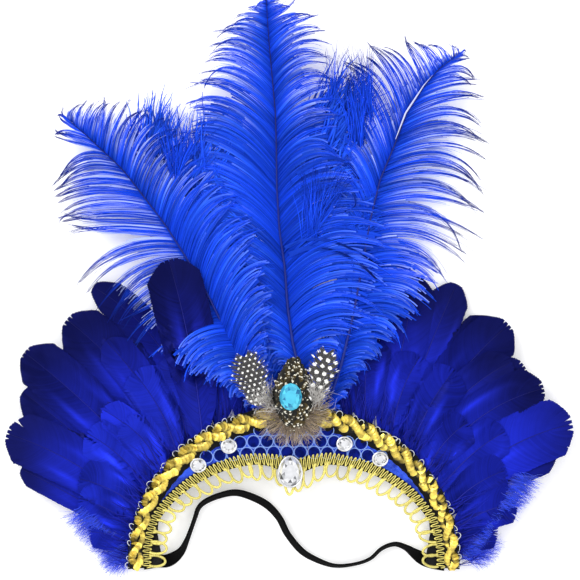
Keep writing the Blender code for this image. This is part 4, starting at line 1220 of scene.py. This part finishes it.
def makeGoldBraid():
    look = braidLook
    rng = np.random.default_rng(60)
    gold = foilFinish(
        "goldSequinFoil", look["bright"], look["creaseShade"], 260.0, 0.6, 0.6,
        Metallic=0.5, Coat_Weight=0.1,
    )
    sheet = newSheet()
    spokes = look["spokes"]
    angle = np.arange(spokes) * 2 * math.pi / spokes
    folded = np.cos(angle) ** 2
    # where each sequin's rim gets its painted shade, darkest at the strand's sides
    rim = np.concatenate(((0.0,), 0.4 * folded, folded))
    faces = fanFaces(spokes) + [
        [1 + i, 1 + spokes + i, 1 + spokes + (i + 1) % spokes, 1 + (i + 1) % spokes] for i in range(spokes)
    ]
    for strand in (0, 1):
        place = (np.arange(look["sequins"]) + 0.5) / look["sequins"]
        turn = (place * 2 - 1) * band["endTurn"]
        phase = place * look["periods"] * 2 * math.pi + strand * math.pi
        inset = look["sway"] * np.sin(phase) * braidTaper(turn)
        height = look["seat"] + look["rise"] * (1 + np.cos(phase))
        centre = onCloth(turn, inset, height)
        travel = unit(np.gradient(centre, axis=0))
        side = unit(np.cross(travel, upward))
        lean = np.radians(look["lean"] + rng.normal(0, 5, len(turn)))[:, None]
        forward = travel * np.cos(lean) + upward * np.sin(lean)
        side = unit(side + travel * rng.normal(0, look["twist"], len(turn))[:, None])
        normal = unit(np.cross(side, forward))
        for number in range(len(turn)):
            lobe = look["lobe"][0] + look["lobe"][1] * abs(math.sin(phase[number]))
            radius = look["sequinRadius"] * braidTaper(turn[number]) * lobe * rng.uniform(0.92, 1.08)
            wobble = 1 + look["ruffle"] * np.sin(angle * 4 + rng.uniform(0, 6))
            disc = np.cos(angle)[:, None] * side[number] * 1.06 + np.sin(angle)[:, None] * forward[number]
            disc = disc * (radius * wobble)[:, None]
            sink = normal[number] * look["cup"]
            inner = disc * 0.5 - sink
            disc = disc - normal[number] * (look["bend"] * radius * folded)[:, None]
            points = centre[number] + np.concatenate((-sink[None], inner, disc))
            # painted shade where this strand dips under the other
            underShade = look["paintedUnderShade"] * (1 - math.cos(phase[number])) / 2
            tone = look["tone"][0] + rng.normal(0, look["tone"][1]) - underShade - look["paintedRimShade"] * rim
            addFaces(sheet, points, faces, tone=tone, along=place[number])
    addPiece("gold_braid_sequins", sheet, gold, replaces=("gold_braid",))
    # the black cord under the braid, wide enough to show at its edges as painted shadow
    cord = fibreFinish(
        "blackCordAndShadow", (0.003, 0.003, 0.004), (0.012, 0.011, 0.010), 1800.0, 0.4, 0.4, Roughness=0.8,
    )
    base = newSheet()
    steps = look["backSteps"]
    turn = np.linspace(-band["endTurn"], band["endTurn"], steps)
    ripple = look["ripple"] * np.sin(np.arange(steps) * 1.9)
    edge, more = look["backHeight"]
    rows = []
    for share in (-1, -0.5, 0, 0.5, 1):
        inset = look["backShift"] + share * look["backWidth"] / 2 * braidTaper(turn) + ripple * share
        rows.append(onCloth(turn, inset, edge + more * (1 - share**2)))
    addFaces(base, np.stack(rows, axis=1), gridFaces(steps, len(rows)))
    addPiece("gold_braid_cord_and_shadow", base, cord)


picotLook = {
    "count": 64,
    "missing": 0.3,
    "reach": 0.0030,
    "radius": 0.00024,
    "inset": -0.0040,
    "lift": 0.0012,
}


def makePicots():
    # small loops of silver thread outside the braid
    look = picotLook
    rng = np.random.default_rng(70)
    silver = foilFinish(
        "silverThread", (0.72, 0.74, 0.78), (0.01, 0.01, 0.01), 400.0, 1.0, 0.3, Metallic=0.3,
    )
    sheet = newSheet()
    pitch = 2 * band["endTurn"] / look["count"]
    bend = np.linspace(0.0, math.pi, 12)
    for number in range(look["count"]):
        if rng.random() < look["missing"]:
            continue
        middle = -band["endTurn"] + (number + rng.uniform(0.3, 0.7)) * pitch
        turns = middle - np.cos(bend) * pitch * rng.uniform(0.3, 0.5) + rng.normal(0, 0.4) * np.sin(bend)
        insets = look["inset"] - look["reach"] * rng.uniform(0.4, 1.0) * np.sin(bend)
        path = onCloth(turns, insets, look["lift"])
        addTubes(sheet, path[None], np.full((1, 12), look["radius"]), 5, tone=0.5)
    addPiece("gold_braid_picots", sheet, silver)


makeGoldBraid()
makePicots()
print("gold braid made")


# Gimp: a thread that runs to and fro across the band's lower edge, with a fringe of loops

gimpLook = {
    "bars": 196,
    "length": 0.0078,
    "endLength": 0.0054,
    "onFacing": 0.55,  # share of the length that lies on the facing
    "leastInset": (0.0048, 0.0008),  # at the middle, and how much less at the ends
    "radius": 0.00034,
    "lift": 0.0013,
    "squareness": 0.45,  # below 1, the thread runs straighter between its turns
    "loops": 34,
    "neck": 0.65,  # how far the loops close at the top, in radians
    "loopLength": 0.0100,
    "dip": 0.0034,  # of the lower edge at the pear stone
    "dipTurn": 10.0,
    "loopRadius": 0.00082,
    "loopLift": 0.0014,
    "loopStep": 0.0005,  # every other loop lies higher
    "netLift": 0.0004,
    "longer": 0.32,  # the loops under the pear stone
    "tuck": 0.0012,  # of the loops' ends under the gimp
    "bright": (0.84, 0.74, 0.20),
    "creaseShade": (0.30, 0.22, 0.02),
}


def gimpSpan(turn):
    # insets of the gimp's outer and inner edge
    look = gimpLook
    share = np.abs(turn) / 90.0
    length = look["length"] + (look["endLength"] - look["length"]) * smoothStep(share)
    least, less = look["leastInset"]
    outer = np.maximum(bandDepth(turn) - length * look["onFacing"], least - less * share)
    return outer, outer + length + look["dip"] * np.exp(-(turn / look["dipTurn"]) ** 2)


def makeGimp():
    look = gimpLook
    rng = np.random.default_rng(80)
    thread = foilFinish(
        "paleGoldThread", look["bright"], look["creaseShade"], 900.0, 0.6, 0.8, Metallic=0.3,
    )
    black = fibreFinish(
        "blackNet", (0.002, 0.002, 0.003), (0.010, 0.010, 0.010), 2200.0, 0.3, 0.3, Roughness=0.9,
    )
    sheet = newSheet()
    steps = look["bars"] * 8
    place = np.linspace(0.0, 1.0, steps)
    turn = (place * 2 - 1) * band["endTurn"]
    swing = np.sin(place * look["bars"] * math.pi)
    swing = np.sign(swing) * np.abs(swing) ** look["squareness"]
    outer, inner = gimpSpan(turn)
    inset = (outer + inner) / 2 + swing * (inner - outer) / 2 * (0.94 + 0.06 * np.sin(place * 57))
    line = onCloth(turn, inset, look["lift"])
    tone = 0.5 + 0.2 * np.sin(place * 400)
    addTubes(sheet, line[None], np.full((1, steps), look["radius"]), 6, tone=tone[None])
    pitch = 2 * band["endTurn"] / look["loops"]
    bend = np.linspace(-look["neck"], math.pi + look["neck"], 22)
    for loop in range(look["loops"]):
        middle = -band["endTurn"] + (loop + 0.5) * pitch + rng.normal(0, 0.06) * pitch
        top = gimpSpan(middle)[1] - look["tuck"]
        drop = (np.sin(bend) + math.sin(look["neck"])) / (1.0 + math.sin(look["neck"]))
        width = pitch * rng.uniform(0.46, 0.54)
        turns = middle - np.cos(bend) * width + rng.normal(0, 0.10) * pitch * drop
        longer = 1.0 + look["longer"] * math.exp(-(middle / look["dipTurn"]) ** 2)
        insets = top + look["loopLength"] * longer * rng.uniform(0.86, 1.1) * drop
        path = onCloth(turns, insets, look["loopLift"] + look["loopStep"] * (loop % 2))
        radii = np.full((1, bend.size), look["loopRadius"])
        addTubes(sheet, path[None], radii, 6, tone=0.5 + rng.normal(0, 0.12))
    addPiece("gimp_thread", sheet, thread, replaces=("gimp_braid",))
    strip = newSheet()
    steps = 120
    turn = np.linspace(-band["endTurn"], band["endTurn"], steps)
    outer, inner = gimpSpan(turn)
    rows = [onCloth(turn, outer + (inner - outer) * share, look["netLift"]) for share in (0.0, 0.5, 1.0)]
    addFaces(strip, np.stack(rows, axis=1), gridFaces(steps, len(rows)))
    addPiece("gimp_net", strip, black)


makeGimp()
print("gimp and loops made")


# Sequined facing

sequinLook = {
    "pitch": 0.0083,
    "rowPitch": 0.0071,
    "firstRow": 0.0608,  # from the centre of the arch
    "rows": 5,
    "radius": 0.0033,
    "spokes": 16,
    "halfSpan": 0.058,
    "lift": (0.0003, 0.0007),  # at a sequin's middle and its rim
    "fromBraid": 0.006,
    "underGimp": 0.001,  # how far a sequin's middle may be under the gimp
    "netRadius": 0.00030,
    "netLift": 0.0006,
    "netRing": 1.20,  # size of the thread's ring in sequins
    "dark": (0.001, 0.003, 0.07),
    "light": (0.003, 0.009, 0.19),
}


def makeSequins():
    look = sequinLook
    navySequin, tree, shader = newFinish("navySequin", Specular_IOR_Level=0.3, Specular_Tint=blueGlint)
    dots = noiseOf(tree, 220.0)
    colour = mixOf(tree, stepOf(tree, dots, 0.35, 0.7), look["dark"], look["light"])
    tree.links.new(colour, shader["Base Color"])
    tree.links.new(mathOf(tree, "MULTIPLY_ADD", dots, 0.3, 0.12), shader["Roughness"])
    netThread = fibreFinish(
        "paleNetThread", (0.16, 0.30, 0.85), (0.45, 0.62, 1.0), 2500.0, 0.5, 0.3, Roughness=0.5,
    )
    discs, net = newSheet(), newSheet()
    spokes = look["spokes"]
    angle = np.arange(spokes) * 2 * math.pi / spokes
    ring = np.stack((np.cos(angle), np.sin(angle)), axis=-1)
    for row in range(look["rows"]):
        for column in range(-8, 9):
            x = (column + 0.5 * (row % 2)) * look["pitch"]
            y = look["firstRow"] + row * look["rowPitch"] - 0.06 * x * x / look["halfSpan"]
            turn = math.degrees(math.atan2(x / band["halfWidth"], y / band["rise"]))
            spot = np.array((x, y)) + archCentre
            fromBraid = np.linalg.norm(bandSpot(turn, 0.0) - spot)
            within = (x / band["halfWidth"]) ** 2 + (y / band["rise"]) ** 2 < 1.0
            between = look["fromBraid"] < fromBraid < gimpSpan(turn)[0] + look["underGimp"]
            if not within or not between or abs(x) > look["halfSpan"]:
                continue
            rim = spot + ring * look["radius"]
            middle = raised(spot[None], heightsOn(clothSurface, spot[None]) + look["lift"][0])
            rim = raised(rim, heightsOn(clothSurface, rim) + look["lift"][1])
            addFaces(discs, np.concatenate((middle, rim)), fanFaces(spokes))
            loop = spot + ring * look["radius"] * look["netRing"]
            path = raised(loop, heightsOn(clothSurface, loop) + look["netLift"])
            addTubes(net, path[None], np.full((1, spokes), look["netRadius"]), 5, closed=True)
    addPiece("sequin_dots", discs, navySequin)
    addPiece("sequin_net", net, netThread)


makeSequins()


clothLook = {
    "dark": (0.008, 0.03, 0.42),
    "light": (0.03, 0.10, 0.85),
    "thread": (0.28, 0.45, 1.0),
    "threadShare": 0.45,
}


def makeClothFinish():
    look = clothLook
    finish, tree, shader = newFinish(
        "royalSequinCloth", Metallic=0.25, Coat_Weight=0.1, Specular_Tint=blueGlint,
    )
    grain = placeGroup(tree, "fibreGrain", Scale=900.0, Thread=0.4)
    patches = noiseOf(tree, 130.0, 3.0)
    base = mixOf(tree, stepOf(tree, patches, 0.42, 0.62), look["dark"], look["light"])
    share = mathOf(tree, "MULTIPLY", stepOf(tree, grain["Shade"], 0.55, 0.9), look["threadShare"])
    tree.links.new(mixOf(tree, share, base, look["thread"]), shader["Base Color"])
    tree.links.new(mathOf(tree, "MULTIPLY_ADD", patches, 0.4, 0.2), shader["Roughness"])
    addBump(tree, shader, grain["Height"], 0.5, bumpDepth["fibre"])
    return finish


def dressNode(node, finish):
    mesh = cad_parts[node].data
    mesh.materials.clear()
    mesh.materials.append(finish)


dressNode("sequin_cloth", makeClothFinish())
dressNode("felt_backing", fibreFinish(
    "blackFelt", (0.002, 0.002, 0.003), (0.020, 0.020, 0.022), 1300.0, 0.05, 0.9,
    Roughness=0.95, Sheen_Weight=0.2,
))
print("sequined facing made")


# Stones

stoneLook = {
    "rings": ((0.50, 1.00), (0.78, 0.74), (1.00, 0.34), (1.00, 0.12)),  # radius, height
    "trim": {"round": 0.90, "pear": 0.92},  # leaves room for the silver cups
    "lean": 0.9,  # how far the round stones lean with the facing
    "sink": 0.0022,
    "flatness": 0.55,
    "tableReflection": 0.72,
    "cupSize": 1.04,
    "cupRadius": 0.0006,
    "cupRise": 0.0006,  # above the stone's lowest ring
    # painted reflections: the clear stones' dark and light facets are painted, and the turquoise's own
    # colour is painted lighter and darker by facet
    "clearDark": (0.03, 0.035, 0.045),
    "clearLight": (0.95, 0.96, 1.0),
    "turquoiseDark": (0.001, 0.11, 0.30),
    "turquoiseLight": (0.10, 0.66, 0.88),
}

clearStone = stoneFinish(
    "clearStone", stoneLook["clearDark"], stoneLook["clearLight"],
    Roughness=0.06, Metallic=0.3, Coat_Weight=1.0,
)
turquoiseStone = stoneFinish(
    "turquoiseStone", stoneLook["turquoiseDark"], stoneLook["turquoiseLight"],
    Roughness=0.08, Specular_IOR_Level=0.3, Coat_Weight=0.2,
)
silverCup = foilFinish("silverCup", (0.86, 0.87, 0.90), (0.35, 0.35, 0.38), 500.0, 0.5, 0.2, Metallic=1.0)


def cutStone(node, facets, pear, finish, rng, cupped=True):
    # pear is how much narrower the stone gets towards +Y
    look = stoneLook
    low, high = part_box(node)
    centre = (low + high) / 2
    middle = np.array(centre[:2])
    size = (high - low) * look["trim"].get(node.split("_")[0], 1.0)
    points = []
    for level, (radius, up) in enumerate(look["rings"]):
        angle = (np.arange(facets) + 0.5 * (level % 2)) * 2 * math.pi / facets
        x, y = np.cos(angle) * radius, np.sin(angle) * radius
        x = x * (1.0 - pear * y)
        z = np.full(facets, low.z + size.z * up)
        points.append(np.stack((centre.x + x * size.x / 2, centre.y + y * size.y / 2, z), axis=-1))
    slope = np.zeros(2)
    if node.startswith("round"):
        seat = heightsOn(surfaceOf(node), np.concatenate([ring[:, :2] for ring in points])).mean()
        slope = (middle - archCentre) * look["lean"]
        for ring in points:
            up = (ring[:, 2] - low.z) * look["flatness"]
            ring[:, 2] = seat - look["sink"] + up + (ring[:, :2] - middle) @ slope
    # painted reflections: a light table, and each facet lit or shaded at random
    faces, facetReflections = [list(range(facets))], [look["tableReflection"]]
    for level in range(len(points) - 1):
        a, b = level * facets, (level + 1) * facets
        for i in range(facets):
            j = (i + 1) % facets
            if level % 2:
                faces += [[a + i, b + j, a + j], [a + i, b + i, b + j]]
            else:
                faces += [[a + i, b + i, a + j], [b + i, b + j, a + j]]
            facetReflections += [rng.random(), rng.random() ** 0.6]
    sheet = newSheet()
    addFaces(sheet, np.concatenate(points), faces)
    addPiece(f"{node}_cut", sheet, finish, replaces=(node,), smooth=False, faceReflections=facetReflections)
    if cupped:
        angle = np.arange(40) * 2 * math.pi / 40
        x, y = np.cos(angle), np.sin(angle)
        x, y = x * (1 - pear * y) * size.x / 2 * look["cupSize"], y * size.y / 2 * look["cupSize"]
        rim = np.stack((x + centre.x, y + centre.y), axis=-1)
        lift = points[-1][:, 2].mean() + look["cupRise"] + (rim - middle) @ slope
        cup = newSheet()
        radii = np.full((1, angle.size), look["cupRadius"])
        addTubes(cup, raised(rim, lift)[None], radii, 6, closed=True, tone=0.5)
        addPiece(f"{node}_cup", cup, silverCup)


stoneRng = np.random.default_rng(100)
for number in range(1, 5):
    cutStone(f"round_stone_{number}", 10, 0.0, clearStone, stoneRng)
cutStone("pear_stone", 12, 0.12, clearStone, stoneRng)
cutStone("turquoise_stone", 12, 0.0, turquoiseStone, stoneRng, cupped=False)
print("stones cut")


# Rosette: small speckled feathers laid like scales, white-dotted guinea feathers and tan down

rosetteLook = {
    "rings": 9,
    "shrinking": 0.62,  # from the first ring to the last
    "feathers": 30,  # in the first ring
    "point": 0.45,  # how much the pad narrows towards +Y
    "featherLength": 0.0078,
    "featherWidth": 0.0042,
    "profile": (0.35, 0.80, 1.00, 0.95, 0.65, 0.15),  # width of a feather from root to tip
    "seat": 0.0004,
    "ringStep": 0.0005,  # how much higher the last ring lies
    "crown": 0.0004,  # a feather's middle above its edges
    "curlUp": 0.0021,
    "sweep": (0.0, 0.002),  # turns the feathers towards +Y
    "bronze": (0.075, 0.050, 0.010),
    "black": (0.004, 0.004, 0.003),
    "fleck": (0.86, 0.83, 0.70),
}


def speckledFinish():
    finish, tree, shader = newFinish("speckledFeather", Specular_IOR_Level=0.25)
    along, tone = attributeOf(tree, "along"), attributeOf(tree, "tone")
    warm = mathOf(tree, "MULTIPLY", stepOf(tree, tone, 0.35, 1.0), stepOf(tree, along, 0.1, 0.8))
    base = mixOf(tree, warm, rosetteLook["black"], rosetteLook["bronze"])
    spots = stepOf(tree, noiseOf(tree, 700.0, 1.0), 0.66, 0.70)
    tips = mathOf(tree, "MULTIPLY", stepOf(tree, along, 0.86, 0.95), stepOf(tree, tone, 0.62, 0.70))
    mask = mathOf(tree, "MAXIMUM", spots, tips)
    tree.links.new(mixOf(tree, mask, base, rosetteLook["fleck"]), shader["Base Color"])
    tree.links.new(mathOf(tree, "MULTIPLY_ADD", tone, 0.3, 0.3), shader["Roughness"])
    return finish


def makeRosette():
    look = rosetteLook
    rng = np.random.default_rng(120)
    finish = speckledFinish()
    dressNode("rosette_pad", finish)
    low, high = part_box("rosette_pad")
    surface = surfaceOf("rosette_pad")
    centre = np.array(stoneMiddle[:2])
    half = np.array((high.x - low.x, high.y - low.y)) / 2
    middle = np.array(((low.x + high.x) / 2, (low.y + high.y) / 2))
    sheet = newSheet()
    travel = np.linspace(0.0, 1.0, len(look["profile"]))
    profile = np.array(look["profile"]) * look["featherWidth"] / 2
    faces = gridFaces(len(travel), 3)
    for ring in range(look["rings"]):
        share = 1.0 - ring / look["rings"] * look["shrinking"]
        count = int(look["feathers"] * share)
        for number in range(count):
            angle = 2 * math.pi * (number + 0.5 * (ring % 2)) / count + rng.normal(0, 0.05)
            x, y = math.sin(angle), math.cos(angle)
            x *= 1.0 - look["point"] * max(0.0, y) ** 1.5
            tip = middle + np.array((x, y)) * half * share * rng.uniform(1.0, 1.12)
            way = unit(tip - centre + np.array(look["sweep"]))
            length = look["featherLength"] * rng.uniform(0.8, 1.2)
            across = np.array((way[1], -way[0]))
            spine = tip - way * length + way * (travel * length)[:, None]
            lift = heightsOn(surface, spine) + look["seat"] + look["ringStep"] * ring / look["rings"]
            lift = lift + look["curlUp"] * travel**2
            tone = rng.random()
            points = np.stack([
                raised(spine + across * (profile * offset)[:, None], lift - abs(offset) * look["crown"])
                for offset in (-1, 0, 1)
            ], axis=1)
            addFaces(sheet, points, faces, along=np.repeat(travel, 3), tone=tone)
    addPiece("rosette_feathers", sheet, finish)


guineaLook = {
    "barbs": 60,
    "lift": 0.0055,  # above the barbs of the plumes
    "arch": 0.0007,
    "slant": 0.13,  # how far up the feather a barb's tip is from its root
    "rows": ((0.0, 0.55), (0.25, 0.80), (0.55, 1.02), (0.8, 0.86), (0.95, 0.5), (1.0, 0.25)),  # half width
    "vane": (0.011, 0.010, 0.012),
    "strand": (0.10, 0.095, 0.095),
    "fluff": (0.75, 0.72, 0.68),
    "dot": (0.92, 0.92, 0.90),
    "feathers": {  # finish, dots across, dots along, size of the dots, breadth
        "guinea_feather_left": ("guineaSmallDots", 6.4, 10.5, 0.17, 0.98),
        "guinea_feather_right": ("guineaLargeDots", 4.2, 7.6, 0.24, 0.82),
    },
}


def guineaFinish(name, across, along, size):
    # white dots in staggered rows over a dark barbed vane
    finish, tree, shader = newFinish(name, Roughness=0.6, Sheen_Weight=0.2)
    place, side = attributeOf(tree, "vaneAlong"), attributeOf(tree, "vaneAcross")
    row = mathOf(tree, "MULTIPLY", place, along)
    shifted = mathOf(tree, "MULTIPLY", mathOf(tree, "FLOOR", row), 0.5)
    column = mathOf(tree, "ADD", mathOf(tree, "MULTIPLY", side, across), shifted)
    inRow = mathOf(tree, "SUBTRACT", mathOf(tree, "FRACT", row), 0.5)
    inColumn = mathOf(tree, "SUBTRACT", mathOf(tree, "FRACT", column), 0.5)
    far = mathOf(tree, "SQRT", mathOf(
        tree, "ADD", mathOf(tree, "MULTIPLY", inRow, inRow), mathOf(tree, "MULTIPLY", inColumn, inColumn),
    ))
    ragged = mathOf(tree, "MULTIPLY", mathOf(tree, "SUBTRACT", noiseOf(tree, 900.0), 0.5), 0.22)
    dot = mathOf(tree, "SUBTRACT", 1.0, stepOf(tree, mathOf(tree, "ADD", far, ragged), size, size + 0.07))
    strands = stepOf(tree, noiseOf(tree, 1600.0), 0.45, 0.75)
    vane = mixOf(tree, strands, guineaLook["vane"], guineaLook["strand"])
    fluff = mathOf(tree, "SUBTRACT", 1.0, stepOf(tree, place, 0.10, 0.32))
    pale = mixOf(tree, mathOf(tree, "MULTIPLY", fluff, strands), vane, guineaLook["fluff"])
    tree.links.new(mixOf(tree, dot, pale, guineaLook["dot"]), shader["Base Color"])
    return finish


def makeGuinea(node, finish, breadth, rng):
    look = guineaLook
    feather = featherOf(node)
    surface = surfaceOf(node, *plumeShapes)
    sheet = newSheet()
    barbs = look["barbs"]
    share = np.linspace(0.02, 0.97, barbs)
    travel = np.broadcast_to(np.linspace(0, 1, 7), (barbs, 7))
    widths = feather["length"] / barbs * 1.5 * (1 - 0.8 * smoothStep((travel - 0.7) / 0.3))
    root, lean, across = gooseSpine(feather, share)
    line = np.polynomial.Polynomial.fit(share, heightsOn(surface, root), 1)(share)
    heights = line[:, None] + look["arch"] * np.sin(travel * 3) + look["lift"]
    for side in (-1, 1):
        half = feather["halfWidth"] * breadth * readRows(look["rows"], share)[0]
        half = half * (1 + rng.normal(0, 0.15, barbs))
        advance = feather["length"] * look["slant"]
        tip = root + across * (side * half)[:, None] + lean * advance
        knee = root + across * (side * half * 0.6)[:, None] + lean * advance * 0.3
        spots = bezier(root[:, None], knee[:, None], tip[:, None], travel)
        forward = (spots - feather["root"]) @ feather["along"] / feather["length"]
        sideways = (spots - feather["root"]) @ np.array((feather["along"][1], -feather["along"][0]))
        addRibbons(
            sheet, raised(spots, heights), widths, side * 0.1,
            vaneAlong=forward, vaneAcross=sideways / feather["halfWidth"] / 2 + 0.5,
        )
    addPiece(f"{node}_vane", sheet, finish, replaces=(node,))


tanDownLook = {
    "strands": 620,
    "spread": 112.0,  # degrees to each side of straight down
    "rootBelow": 0.004,  # below the top of its CAD solid
    "lift": 0.0008,
    "width": 0.0004,
    "curl": 0.25,
}

tanDown = featherFinish(
    "tanDown", ((0.05, 0.037, 0.025), (0.18, 0.13, 0.085), (0.48, 0.38, 0.26)), 0.35, 0.5, 1.1,
    Sheen_Weight=0.2,
)


def makeTanDown():
    look = tanDownLook
    rng = np.random.default_rng(140)
    low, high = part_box("down_tuft")
    surface = surfaceOf("down_tuft", "gold_braid")
    sheet = newSheet()
    root = np.array(((low.x + high.x) / 2, high.y - look["rootBelow"]))
    angle = rng.uniform(-look["spread"], look["spread"], look["strands"])
    reachX, reachY = (high.x - low.x) / 2, (high.y - low.y) * 0.86
    x, y = np.sin(np.radians(angle)) / reachX, np.cos(np.radians(angle)) / reachY
    lengths = 1.0 / np.sqrt(x**2 + y**2)
    lengths *= rng.uniform(0.6, 1.02, look["strands"])
    addTuft(sheet, root, 180.0 - angle, lengths, surface, look["lift"], look["width"], rng, look["curl"])
    addPiece("down_tuft_strands", sheet, tanDown, replaces=("down_tuft",))


guineaDownLook = {
    "strands": 130,  # at each root
    "length": 0.013,
    "roots": ((-13.0, 99.0, -38.0), (12.0, 99.0, 24.0)),  # x and y in millimetres, aim
    "scatter": 0.0028,
    "aimScatter": 42,
    "lift": 0.0062,
    "width": 0.00028,
    "curl": 0.4,
}

greyDown = featherFinish(
    "greyDown", ((0.16, 0.14, 0.13), (0.42, 0.40, 0.38), (0.72, 0.70, 0.68)), 0.3, 0.5, 0.8,
)


def makeGuineaDown():
    look = guineaDownLook
    rng = np.random.default_rng(135)
    sheet = newSheet()
    surface = surfaceOf("guinea_feather_left", "guinea_feather_right", "down_tuft", *plumeShapes)
    for x, y, aim in look["roots"]:
        root = sheetSpot(x, y) + rng.normal(0, look["scatter"], (look["strands"], 1, 2))
        aims = aim + rng.normal(0, look["aimScatter"], look["strands"])
        lengths = look["length"] * rng.uniform(0.4, 1.0, look["strands"])
        addTuft(sheet, root, aims, lengths, surface, look["lift"], look["width"], rng, look["curl"])
    addPiece("guinea_down", sheet, greyDown)


makeRosette()
makeGuineaDown()
guineaRng = np.random.default_rng(130)
for featherName, (finishName, *dots, breadth) in guineaLook["feathers"].items():
    makeGuinea(featherName, guineaFinish(finishName, *dots), breadth, guineaRng)
makeTanDown()
print("rosette made")


# Elastic strap

strapLook = {
    "width": 0.0080,
    "thickness": 0.0012,
    "ribs": 9,
    "grooves": 0.72,  # height between the ribs, as a share of the thickness
    "steps": 200,
    "route": (  # x, y from the centre of the arch as shares of the band's half width, tilt in degrees
        (-0.955, -0.020, 0.0), (-0.865, -0.006, 0.0), (-0.808, -0.004, 5.0), (-0.756, 0.021, 34.0),
        (-0.708, 0.067, 60.0), (-0.676, 0.133, 74.0), (-0.650, 0.202, 78.0), (-0.625, 0.272, 78.0),
        (-0.604, 0.331, 75.0), (-0.562, 0.372, 70.0), (-0.475, 0.410, 67.0), (-0.372, 0.430, 63.0),
        (-0.272, 0.405, 60.0), (-0.169, 0.351, 59.0), (-0.093, 0.269, 63.0), (-0.040, 0.167, 65.0),
        (0.046, 0.063, 64.0), (0.140, 0.006, 68.0), (0.254, -0.032, 75.0), (0.374, -0.025, 78.0),
        (0.481, 0.010, 78.0), (0.558, 0.076, 76.0), (0.640, 0.104, 72.0), (0.710, 0.082, 66.0),
        (0.762, 0.047, 46.0), (0.826, 0.006, 6.0), (0.877, -0.012, 0.0), (0.960, -0.028, 0.0),
    ),
}


def makeStrap():
    look = strapLook
    elastic = fibreFinish(
        "blackElastic", (0.001, 0.001, 0.001), (0.005, 0.005, 0.006), 1500.0, 0.7, 0.6,
        Roughness=0.7, Specular_IOR_Level=0.06,
    )
    route = smoothRoute(look["route"], look["steps"])
    spots = route[:, :2] * band["halfWidth"] + archCentre
    tilt = np.radians(np.maximum(route[:, 2], 0.0))
    along = unit(np.gradient(spots, axis=0))
    side = np.stack((-along[:, 1], along[:, 0]), axis=-1)
    middle = look["width"] / 2 * np.sin(tilt) + look["thickness"] / 2 * np.cos(tilt)
    across = np.linspace(-1, 1, look["ribs"] * 2 + 1)
    top = [(w, 1.0 if number % 2 else look["grooves"]) for number, w in enumerate(across)]
    under = [(w, -1.0) for w in across[::-1]]
    rings = []
    for w, t in top + under:
        w, t = w * look["width"] / 2, t * look["thickness"] / 2
        out = w * np.cos(tilt) - t * np.sin(tilt)
        up = w * np.sin(tilt) + t * np.cos(tilt)
        rings.append(raised(spots + side * out[:, None], middle + up))
    wide = len(rings)
    last = (look["steps"] - 1) * wide
    faces = gridFaces(look["steps"], wide, wrap=True)
    faces += [list(range(wide))[::-1], list(range(last, last + wide))]
    sheet = newSheet()
    addFaces(sheet, np.stack(rings, axis=1), faces)
    addPiece("elastic_strap_woven", sheet, elastic, replaces=("elastic_strap",))


makeStrap()
print("strap made")


# Floor, light and camera

stageLook = {
    "millimetresPerPixel": 0.62,
    "imageSide": 580,
    "archPixel": (293.8, 561.0),  # the centre of the arch in the photograph
    "cameraHeight": 2.5,
    "aimedAt": 0.008,  # the height that the camera's distance is measured from
    "floor": (0.93, 0.93, 0.94),
    "floorHaze": (0.95, 0.95, 0.955),
    "floorGlow": 0.20,
    "floorHalf": 3.0,
    "worldStrength": 1.0,
    "lamps": (  # place, size, power
        ("keyLight", (-0.9, 0.7, 1.3), 0.9, 12.0),
        ("fillLight", (1.1, -0.5, 1.4), 1.2, 5.0),
    ),
}


def makeStage():
    look = stageLook
    floorFinish, tree, shader = newFinish(
        "paleFloor", Roughness=0.9,
        Emission_Color=(1.0, 1.0, 1.0, 1.0), Emission_Strength=look["floorGlow"],
    )
    haze = mixOf(tree, noiseOf(tree, 3.0), look["floor"], look["floorHaze"])
    tree.links.new(haze, shader["Base Color"])
    mesh = bpy.data.meshes.new("floor")
    half = look["floorHalf"]
    corners = [(-half, -half, 0), (half, -half, 0), (half, half, 0), (-half, half, 0)]
    mesh.from_pydata(corners, [], [(0, 1, 2, 3)])
    mesh.materials.append(floorFinish)
    floor = bpy.data.objects.new("floor", mesh)
    bpy.context.scene.collection.objects.link(floor)
    world = bpy.data.worlds.new("studio")
    world.use_nodes = True
    world.node_tree.nodes["Background"].inputs[0].default_value = (1.0, 1.0, 1.0, 1.0)
    world.node_tree.nodes["Background"].inputs[1].default_value = look["worldStrength"]
    bpy.context.scene.world = world
    for name, place, size, power in look["lamps"]:
        lamp = bpy.data.lights.new(name, "AREA")
        lamp.size = size
        lamp.energy = power
        light = bpy.data.objects.new(name, lamp)
        light.location = place
        light.rotation_euler = (-Vector(place)).to_track_quat("-Z", "Y").to_euler()
        bpy.context.scene.collection.objects.link(light)


def makeCamera():
    look = stageLook
    metresPerPixel = look["millimetresPerPixel"] / 1000
    middle = look["imageSide"] / 2
    x, y = look["archPixel"]
    spot = archCentre + np.array((middle - x, y - middle)) * metresPerPixel
    data = bpy.data.cameras.new("camera")
    data.sensor_width = 36.0
    data.lens = data.sensor_width * look["cameraHeight"] / (look["imageSide"] * metresPerPixel)
    data.clip_end = 20.0
    camera = bpy.data.objects.new("camera", data)
    camera.location = (spot[0], spot[1], look["cameraHeight"] + look["aimedAt"])
    bpy.context.scene.collection.objects.link(camera)
    bpy.context.scene.camera = camera


makeStage()
makeCamera()
bpy.context.scene.view_settings.view_transform = "Standard"

print("scene ready")
